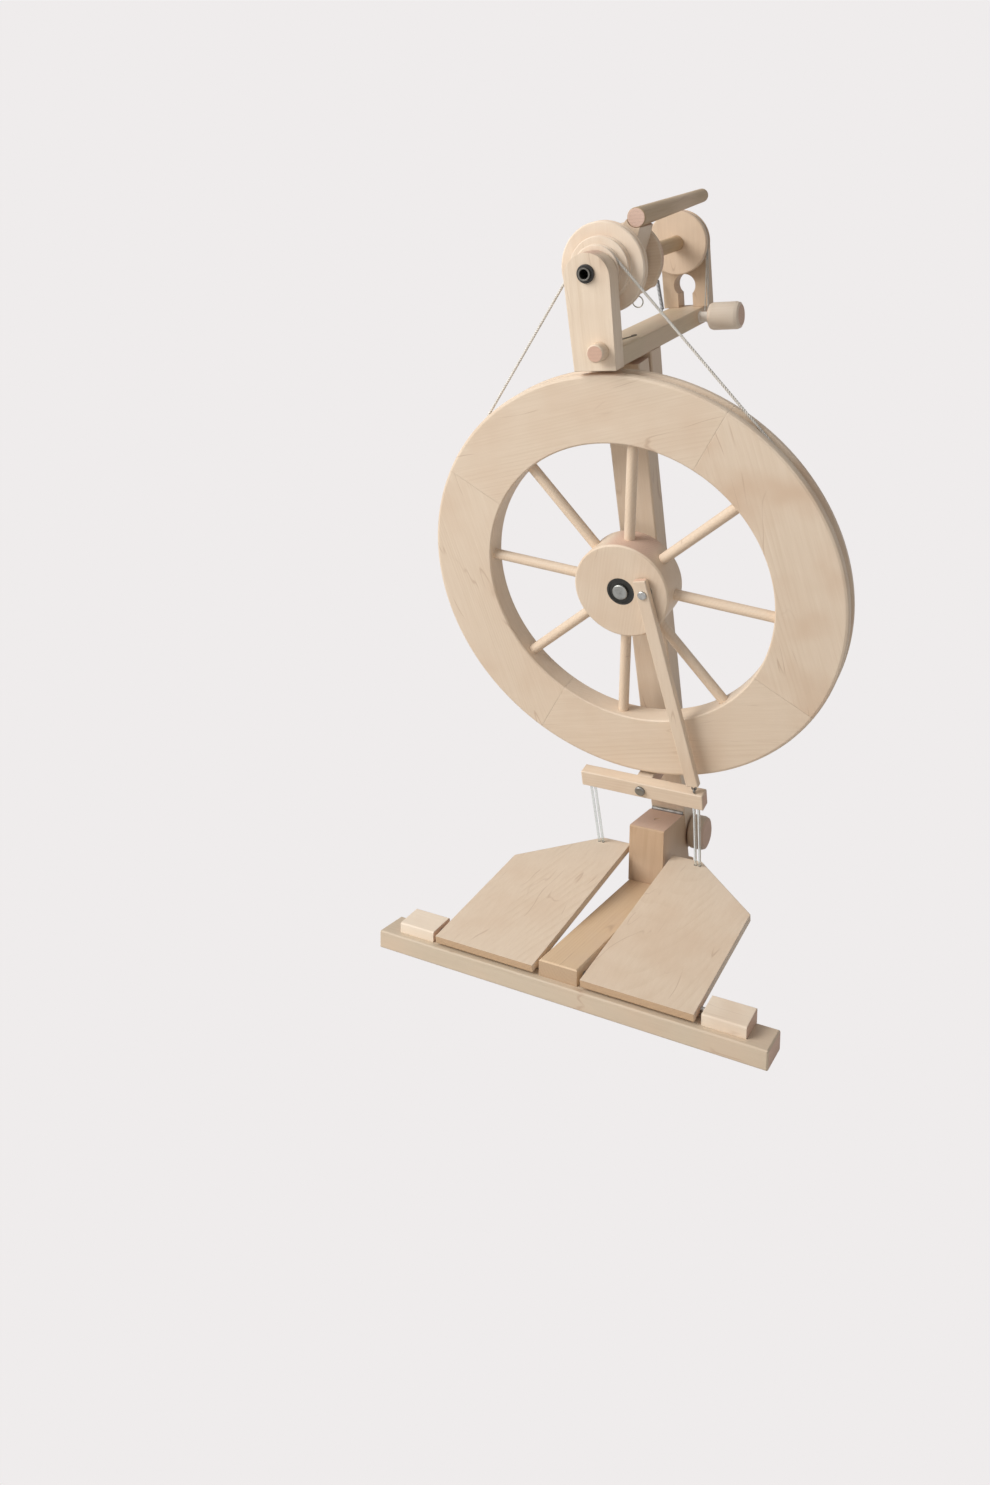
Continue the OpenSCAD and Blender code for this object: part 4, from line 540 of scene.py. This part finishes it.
# the direction of the grain, and what differs from mapleLook
woodPieces = {
    "front_bar": (xAxis, {
        "pith": (0.03, 0.04, 0.1),
        "ringWidth": 0.0042,
        "pale": linear(216, 201, 180),
        "deep": linear(186, 166, 140),
    }),
    "spine": (yAxis, {
        "pith": (0.05, 0.02, 0.2),
        "deep": linear(206, 170, 132),
        "pale": linear(232, 206, 172),
        "end": linear(198, 172, 142),
    }),
    "hinge_block": (zAxis, {
        "pith": (0.07, -0.02, 0.3),
        "pale": linear(206, 178, 148),
        "deep": linear(176, 142, 112),
    }),
    "pivot_block_right": (xAxis, {
        "pith": (0.02, 0.05, 0.4),
        "pale": linear(246, 232, 214),
        "deep": linear(228, 208, 184),
    }),
    "pivot_block_left": (xAxis, {
        "pith": (0.03, 0.05, 0.5),
        "pale": linear(246, 232, 214),
        "deep": linear(228, 208, 184),
    }),
    "post": (postUp, {"pith": (0.06, 0.03, 0.6), "ringWidth": 0.0036}),
    "rocker_block": (xAxis, {"pith": (0.04, 0.03, 0.7)}),
    # painted shade: the lock knob sits low behind the post, and its darker tone stands in for the
    # shade it lies in
    "lock_knob": (xAxis, {
        "pith": (0.02, 0.01, 0.8),
        "pale": linear(206, 190, 170),
        "deep": linear(176, 156, 134),
    }),
    "rim_piece_1": (rimGrain(1), {"pith": (0.12, 0.05, 0.9)}),
    "rim_piece_2": (rimGrain(2), {"pith": (0.1, -0.08, 1.0)}),
    "rim_piece_3": (rimGrain(3), {"pith": (-0.11, 0.07, 1.1), "rosyStrength": 0.4}),
    "rim_piece_4": (rimGrain(4), {"pith": (0.09, 0.1, 1.2), "rosyStrength": 1.3}),
    "spokes": (postBack, {
        "fibreStrength": 0.35,
        "pith": (0.3, 0.2, 1.3),
        "end": linear(235, 214, 190),
        "endDeep": linear(214, 186, 158),
    }),
    "hub": (onWheel(75), {"pith": (0.05, 0.07, 1.4)}),
    "footman": (postUp, {"pith": (0.03, 0.02, 1.5)}),
    "rocker": (xAxis, {"pith": (0.04, 0.01, 1.6)}),
    "treadle_right": (yAxis, {
        "pith": (0.16, 0.04, 1.7),
        "ringWidth": 0.005,
        "end": linear(206, 176, 142),
    }),
    "treadle_left": (yAxis, {
        "pith": (-0.14, 0.06, 1.8),
        "ringWidth": 0.005,
        "end": linear(206, 176, 142),
    }),
    "stem": (headUp, {"pith": (0.05, 0.02, 1.9)}),
    "head_bar": (headBack, {
        "pith": (0.04, 0.03, 2.0),
        "pale": linear(218, 200, 172),
        "deep": linear(186, 164, 136),
    }),
    "front_maiden": (headUp, {"pith": (0.06, 0.03, 2.1), "pale": linear(245, 229, 209)}),
    # painted shade: the rear maiden stands behind the bobbin, and its darker, warmer tone stands
    # in for the shade there
    "rear_maiden": (headUp, {
        "pith": (0.05, 0.04, 2.2),
        "pale": linear(212, 190, 164),
        "deep": linear(180, 152, 124),
    }),
    "whorl": (headUp, {
        "pith": (0.09, 0.02, 2.3),
        "pale": linear(251, 238, 221),
        "deep": linear(232, 210, 186),
    }),
    "yoke": (armUp, {"pith": (0.04, 0.03, 2.4)}),
    "round_arm": (headBack, {
        "pith": (0.02, 0.03, 2.5),
        "pale": linear(196, 172, 140),
        "deep": linear(160, 134, 102),
        "end": linear(228, 198, 182),
    }),
    "flat_arm": (headBack, {"pith": (0.03, 0.02, 2.6)}),
    # painted shade: the core lies between the bobbin's discs, and its darker, warmer tone stands
    # in for the shade there
    "bobbin_core": (headBack, {
        "pith": (0.02, 0.02, 2.7),
        "pale": linear(196, 170, 136),
        "deep": linear(166, 136, 104),
    }),
    "bobbin_front_disc": (xAxis, {"pith": (0.05, 0.06, 2.8)}),
    "bobbin_rear_disc": (headUp, {
        "pith": (0.06, 0.05, 2.9),
        "pale": linear(230, 208, 184),
        "deep": linear(202, 174, 146),
    }),
    "brake_knob": (xAxis, {
        "pith": (0.02, 0.015, 3.0),
        "pale": linear(250, 238, 222),
        "deep": linear(232, 212, 190),
    }),
    "hook_handle": (headBack, {"pith": (0.015, 0.01, 3.1), "end": linear(216, 180, 160)}),
}
metalPieces = {
    "treadle_rods": {},
    "hinge_leaf_lower": {"rough": 0.42},
    "hinge_leaf_upper": {"rough": 0.42},
    "axle": {"tone": linear(170, 172, 168)},
    "axle_spacer": {"rough": 0.4},
    "rocker_bolt": {"tone": linear(150, 150, 146)},
    "tilt_plates": {"rough": 0.4},
    "tilt_pin": {},
    "lock_bolt": {},
    "crank_boss": {"tone": linear(176, 172, 160)},
    "crank_screw": {"tone": linear(196, 197, 195), "rough": 0.25},
    "footman_eye": {"tone": linear(150, 148, 142)},
    "rocker_eye": {"tone": linear(150, 148, 142)},
    "brake_eye_screw": {"tone": linear(150, 148, 142)},
    "tension_screw": {"tone": linear(96, 94, 90), "dark": linear(52, 51, 49)},
    "spindle": {"tone": linear(200, 200, 198), "rough": 0.22},
    "sliding_hook": {"tone": linear(176, 172, 160), "rough": 0.35},
    "orifice_tube": {"tone": linear(128, 126, 120), "dark": linear(66, 64, 60), "rough": 0.34},
}
mouldedPieces = {
    "bearings": {"tone": linear(34, 34, 30), "worn": linear(70, 70, 64)},
    "orifice_bushing": {},
    "rear_bushing": {},
    "bobbin_bushings": {"tone": linear(228, 226, 220), "worn": linear(205, 202, 195)},
    "brake_sleeve": {"tone": linear(236, 232, 224), "worn": linear(214, 206, 194), "rough": 0.5},
}

finishes = {}
for node, (grain, look) in woodPieces.items():
    finishes[node] = maple("maple_" + node, grain, **look)
for node, look in metalPieces.items():
    finishes[node] = steel("metal_" + node, **look)
for node, look in mouldedPieces.items():
    finishes[node] = plastic("moulded_" + node, **look)
for node, finish in finishes.items():
    for slot in nodes[node].material_slots:
        slot.material = finish
print("finishes on", len(finishes), "nodes")

bandLook = {
    "rim": 236.0,  # radius of the band in the rim's groove
    "whorl": 22.8,  # and in the whorl's middle step
    "whorlBack": -84.0,
    "strand": 0.00075,  # metres
    "wind": 0.00078,
    "plies": 3,
    "turns": 190.0,
    "points": 2400,
    "sides": 6,
    "rimSteps": 120,
    "whorlSteps": 24,
}


def makeDriveBand():
    look = bandLook
    low = fromPost(0, *layout["wheel"])
    top = fromHead(0, look["whorlBack"], layout["flyerUp"])
    span = (top - low).length / mm
    lean = math.degrees(math.asin((look["rim"] - look["whorl"]) / span))
    points = arc(low, look["rim"], xAxis, postUp, lean, -180 - lean, look["rimSteps"])
    points += arc(top, look["whorl"], xAxis, headUp, 180 - lean, lean, look["whorlSteps"])
    band = follow("driveBand", points, True, {
        "Points": look["points"],
        "Plies": look["plies"],
        "Turns": look["turns"],
        "Wind Radius": look["wind"],
        "Strand Radius": look["strand"],
        "Sides": look["sides"],
        "Finish": cotton("cotton_band"),
    })
    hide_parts("drive_band")
    tuple(fromPost(0, -40, 560))
    tuple(fromPost(0, -40, 650))
    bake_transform(band)


makeDriveBand()
print("drive band made")

treadleCordLook = {
    "radius": 1.6,
    "strand": 2.6,  # from the middle of the loop to each strand
    "hole": (62.0, 226.5),
    "underside": -0.7,
    "arm": 66.0,
    "plane": -62.8,
    "hang": -3.0,
    "loopSteps": 16,
    "legSteps": 8,
    "points": 160,
    "sides": 20,
}


def makeTreadleCord(side, body, node):
    look = treadleCordLook
    hole = (side * look["hole"][0], look["hole"][1], look["underside"] - look["radius"])
    low = fromTreadle(side, *hole)
    high = fromRocker(side * look["arm"], look["plane"], look["hang"])
    rise = high - low
    up = rise.normalized()
    out = (xAxis - up * xAxis.dot(up)).normalized()
    apart = out * look["strand"] * mm
    legs = look["legSteps"]
    points = arc(low, look["strand"], out, -up, 0, 180, look["loopSteps"])
    points += [low - apart + rise * k / legs for k in range(1, legs)]
    points += arc(high, look["strand"], -out, up, 0, 180, look["loopSteps"])
    points += [high + apart - rise * k / legs for k in range(1, legs)]
    cord = follow(node.replace("_", "") + "Line", points, True, {
        **singleStrand,
        "Points": look["points"],
        "Strand Radius": look["radius"] * mm,
        "Sides": look["sides"],
        "Finish": plastic(
            "clear_" + node, tone=linear(236, 241, 240), worn=linear(214, 224, 222),
            rough=0.08, transmission=0.85,
        ),
    })
    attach(cord, body)
    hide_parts(node)


makeTreadleCord(1, "treadle_right", "treadle_cord_right")
makeTreadleCord(-1, "treadle_left", "treadle_cord_left")
print("treadle cords made")

brakeLook = {
    "sleeve": (28.0, 139.5, 96.4),
    "sleeveRadius": 5.9,
    "sleeveSteps": range(-70, 1, 7),  # degrees round the sleeve
    "cord": 0.8,
    "gap": 0.3,
    "disc": 73.0,
    "grooveDepth": 3.0,
    "groove": 146.5,  # how far back the bobbin's groove is
    "lay": 2.0,
    "pair": 2.6,  # between the two strands
    "riseSteps": 8,
    "settle": 4.0,
    "wrapSteps": 44,
    "fallSteps": 3,
    "fallPart": 3.2,
    "points": 1500,
    "twist": 0.0042,  # metres for one turn
    "wind": 0.00036,
    "strand": 0.00042,
    "sides": 7,
    "eye": (-26.4, 146.5, 102.4),
    "reach": 0.42,  # the cord's share of the way down to the eye
}
brakeLook["wrap"] = (
    brakeLook["disc"] / 2 - brakeLook["grooveDepth"] + brakeLook["cord"] + brakeLook["gap"]
)


# the angle at which a straight stretch from a place meets the groove
def touchAngle(place, way):
    across, up = place.x, place.z - layout["flyerUp"]
    opening = math.acos(brakeLook["wrap"] / math.hypot(across, up))
    return math.degrees(math.atan2(up, across)) + way * math.degrees(opening)


def onGroove(angle, y):
    a = math.radians(angle)
    up = layout["flyerUp"] + brakeLook["wrap"] * math.sin(a)
    return Vector((brakeLook["wrap"] * math.cos(a), y, up))


def brakePlaces():
    eye = Vector(brakeLook["eye"])
    turn = 360 + touchAngle(eye, -1)
    leave = onGroove(turn, brakeLook["groove"])
    end = leave + (eye - leave) * brakeLook["reach"]
    return {"eye": eye, "turn": turn, "leave": leave, "end": end, "way": (eye - end).normalized()}


def brakeStrand(y, side):
    look = brakeLook
    sleeve = Vector(look["sleeve"])
    wind = look["sleeveRadius"] + look["cord"] + look["gap"]
    places = brakePlaces()
    x = sleeve.x + look["lay"] * side
    points = [
        Vector((x, sleeve.y + wind * math.cos(a), sleeve.z + wind * math.sin(a)))
        for a in (math.radians(step) for step in look["sleeveSteps"])
    ]
    foot = points[-1]
    touch = touchAngle(foot, 1)
    rise = onGroove(touch, y) - foot
    points += [foot + rise * k / look["riseSteps"] for k in range(1, look["riseSteps"] + 1)]
    first = touch + look["settle"]
    wraps = look["wrapSteps"]
    points += [
        onGroove(first + (places["turn"] - first) * i / wraps, y) for i in range(wraps + 1)
    ]
    start = places["leave"] + Vector((0, y - look["groove"], 0))
    fall = places["end"] - places["leave"]
    points += [start + fall * k / look["fallPart"] for k in range(1, look["fallSteps"] + 1)]
    return points


def makeBrakeCord():
    look = brakeLook
    first = brakeStrand(look["groove"] - look["pair"] / 2, -1)
    second = brakeStrand(look["groove"] + look["pair"] / 2, 1)
    route = [fromHead(*p) for p in first + [brakePlaces()["end"]] + second[::-1]]
    cord = follow("brakeLine", route, False, {
        "Points": look["points"],
        "Plies": 2,
        "Turns": length(route) / look["twist"],
        "Wind Radius": look["wind"],
        "Strand Radius": look["strand"],
        "Sides": look["sides"],
        "Finish": cotton("cotton_brake", tone=linear(222, 220, 214), shade=linear(176, 172, 163)),
    })
    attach(cord, "head")
    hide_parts("brake_cord")


makeBrakeCord()
print("brake cord made")

springLook = {
    "curls": 24,
    "curlSteps": 20,
    "pitch": 1.55,
    "curlRadius": 2.0,
    "wire": 0.4,
    "foot": 3.0,
    "eyeGap": 0.8,
    "points": 1100,
    "sides": 10,
}


def makeSpring():
    look = springLook
    places = brakePlaces()
    low, way = places["eye"], places["way"]
    top = low - way * (look["foot"] + look["curls"] * look["pitch"])
    bottom = low - way * look["foot"]
    first = (xAxis - way * xAxis.dot(way)).normalized()
    second = way.cross(first)
    coil = []
    for i in range(look["curls"] * look["curlSteps"] + 1):
        turn = i / look["curlSteps"]
        angle = turn * 2 * math.pi
        # the first and last turns close in to the middle
        radius = min(1, turn, look["curls"] - turn) * look["curlRadius"]
        centre = top + (bottom - top) * (turn / look["curls"])
        coil.append(centre + first * radius * math.cos(angle) + second * radius * math.sin(angle))
    start = places["end"] + way * 2 * brakeLook["cord"]
    line = [start, (start + top) / 2] + coil + [low - way * look["eyeGap"]]
    spring = follow("brakeCoil", [fromHead(*p) for p in line], False, {
        **singleStrand,
        "Points": look["points"],
        "Strand Radius": look["wire"] * mm,
        "Sides": look["sides"],
        "Finish": steel(
            "metal_spring", tone=linear(112, 110, 108), dark=linear(58, 57, 56), rough=0.3
        ),
    })
    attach(spring, "head")
    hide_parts("brake_spring")


makeSpring()
print("brake spring made")

hookLook = {
    "place": (7.5, -90.0, 110.8),
    "end": (16.0, -37.0, 108.6),
    "wire": 0.75,
    "inHandle": (12.0, 1.0),  # hidden in the handle
    "shankSteps": 8,
    "curl": 1.5,
    "curlAngles": (20, 180),
    "curlSteps": 12,
    "tip": 4.0,
    "points": 180,
    "sides": 12,
}


def makeHookWire():
    look = hookLook
    start, end = Vector(look["place"]), Vector(look["end"])
    way = (end - start).normalized()
    side = (xAxis - way * xAxis.dot(way)).normalized()
    shank = look["shankSteps"]
    points = [start - yAxis * depth for depth in look["inHandle"]]
    points += [start + (end - start) * k / shank for k in range(1, shank + 1)]
    low, high = look["curlAngles"]
    for i in range(look["curlSteps"] + 1):
        a = math.radians(low + (high - low) * i / look["curlSteps"])
        beside, ahead = math.cos(a) - 1, math.sin(a)
        points.append(end + (side * beside + way * ahead) * look["curl"])
    points.append(end - side * 2 * look["curl"] - way * look["tip"])
    wire = follow("hookLine", [fromHead(*p) for p in points], False, {
        **singleStrand,
        "Points": look["points"],
        "Strand Radius": look["wire"] * mm,
        "Sides": look["sides"],
        "Finish": steel(
            "metal_hook", tone=linear(120, 112, 98), dark=linear(70, 64, 56), rough=0.34
        ),
    })
    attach(wire, "orifice_hook")
    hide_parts("hook_wire")


makeHookWire()
print("orifice hook wire made")

studioLook = {
    "pale": linear(239, 236, 236),
    "matte": linear(214, 210, 206),
    "floor": 6,
    "ambient": 0.26,
    "ambientColour": (1.0, 0.99, 0.985, 1.0),
    "key": {"place": (-2.3, -2.5, 2.3), "size": 2.6, "power": 150, "colour": (1.0, 0.985, 0.965)},
    "fill": {"place": (2.2, -1.6, 1.2), "size": 1.6, "power": 5, "colour": (1.0, 0.97, 0.94)},
    "aim": (0.0, 0.0, 0.42),
}


# the camera, gloss and glass see the pale tone; the object is lit by the rest
def seenDirectly(graph):
    path = graph.make("ShaderNodeLightPath").outputs
    kinds = ("Is Camera Ray", "Is Glossy Ray", "Is Transmission Ray")
    camera, glossy, through = (Wire(graph, path[kind]) for kind in kinds)
    return graph.add("ShaderNodeClamp", [camera + glossy + through])


def makeStudio():
    look = studioLook
    world = bpy.data.worlds.new("studio")
    bpy.context.scene.world = world
    graph = Graph(world)
    shown = graph.add("ShaderNodeBackground", {"Color": look["pale"], "Strength": 1.0})
    light = graph.add(
        "ShaderNodeBackground",
        {"Color": look["ambientColour"], "Strength": look["ambient"]},
    )
    mixed = graph.add("ShaderNodeMixShader", [seenDirectly(graph), light, shown])
    graph.make("ShaderNodeOutputWorld", {"Surface": mixed})
    paint = bpy.data.materials.new("floorPaint")
    graph = Graph(paint)
    shown = graph.add("ShaderNodeEmission", {"Color": look["pale"], "Strength": 1.0})
    matte = graph.add("ShaderNodeBsdfDiffuse", {"Color": look["matte"]})
    mixed = graph.add("ShaderNodeMixShader", [seenDirectly(graph), matte, shown])
    graph.make("ShaderNodeOutputMaterial", {"Surface": mixed})
    sheet = bpy.data.meshes.new("floorSheet")
    reach = look["floor"]
    corners = [(-reach, -reach, 0), (reach, -reach, 0), (reach, reach, 0), (-reach, reach, 0)]
    sheet.from_pydata(corners, [], [(0, 1, 2, 3)])
    sheet.materials.append(paint)
    floor = bpy.data.objects.new("floorSheet", sheet)
    bpy.context.scene.collection.objects.link(floor)
    for name in ("key", "fill"):
        light = bpy.data.lights.new(name, "AREA")
        light.shape = "SQUARE"
        light.size = look[name]["size"]
        light.energy = look[name]["power"]
        light.color = look[name]["colour"]
        lamp = bpy.data.objects.new(name, light)
        lamp.location = look[name]["place"]
        away = Vector(look["aim"]) - lamp.location
        lamp.rotation_euler = away.to_track_quat("-Z", "Y").to_euler()
        bpy.context.scene.collection.objects.link(lamp)


makeStudio()
print("studio made")

cameraLook = {
    "place": (0.4589, -1.0756, 0.5770),
    "yaw": math.radians(-30.5),
    "pitch": math.radians(-6.0),
    "roll": math.radians(0.7),
    "focal": 1044.5,  # this and the centre in pixels of the frame below
    "centre": (498.9, 542.1),
    "frame": (990, 1485),
    "sensor": 36,
    "near": 0.05,
}


def makeCamera():
    look = cameraLook
    forward = Vector((
        math.sin(look["yaw"]) * math.cos(look["pitch"]),
        math.cos(look["yaw"]) * math.cos(look["pitch"]),
        math.sin(look["pitch"]),
    ))
    right = Vector((math.cos(look["yaw"]), -math.sin(look["yaw"]), 0))
    up = right.cross(forward)
    turnedRight = right * math.cos(look["roll"]) + up * math.sin(look["roll"])
    turnedUp = up * math.cos(look["roll"]) - right * math.sin(look["roll"])
    axes = Matrix((turnedRight, turnedUp, -forward)).transposed().to_4x4()
    data = bpy.data.cameras.new("view")
    data.sensor_width = look["sensor"]
    data.sensor_fit = "AUTO"
    width, height = look["frame"]
    data.lens = look["focal"] * look["sensor"] / height
    data.shift_x = (width / 2 - look["centre"][0]) / height
    data.shift_y = (look["centre"][1] - height / 2) / height
    data.clip_start = look["near"]
    camera = bpy.data.objects.new("view", data)
    camera.matrix_world = Matrix.Translation(Vector(look["place"])) @ axes
    bpy.context.scene.collection.objects.link(camera)
    bpy.context.scene.camera = camera


makeCamera()
bpy.context.scene.view_settings.view_transform = "Standard"
print("camera made")
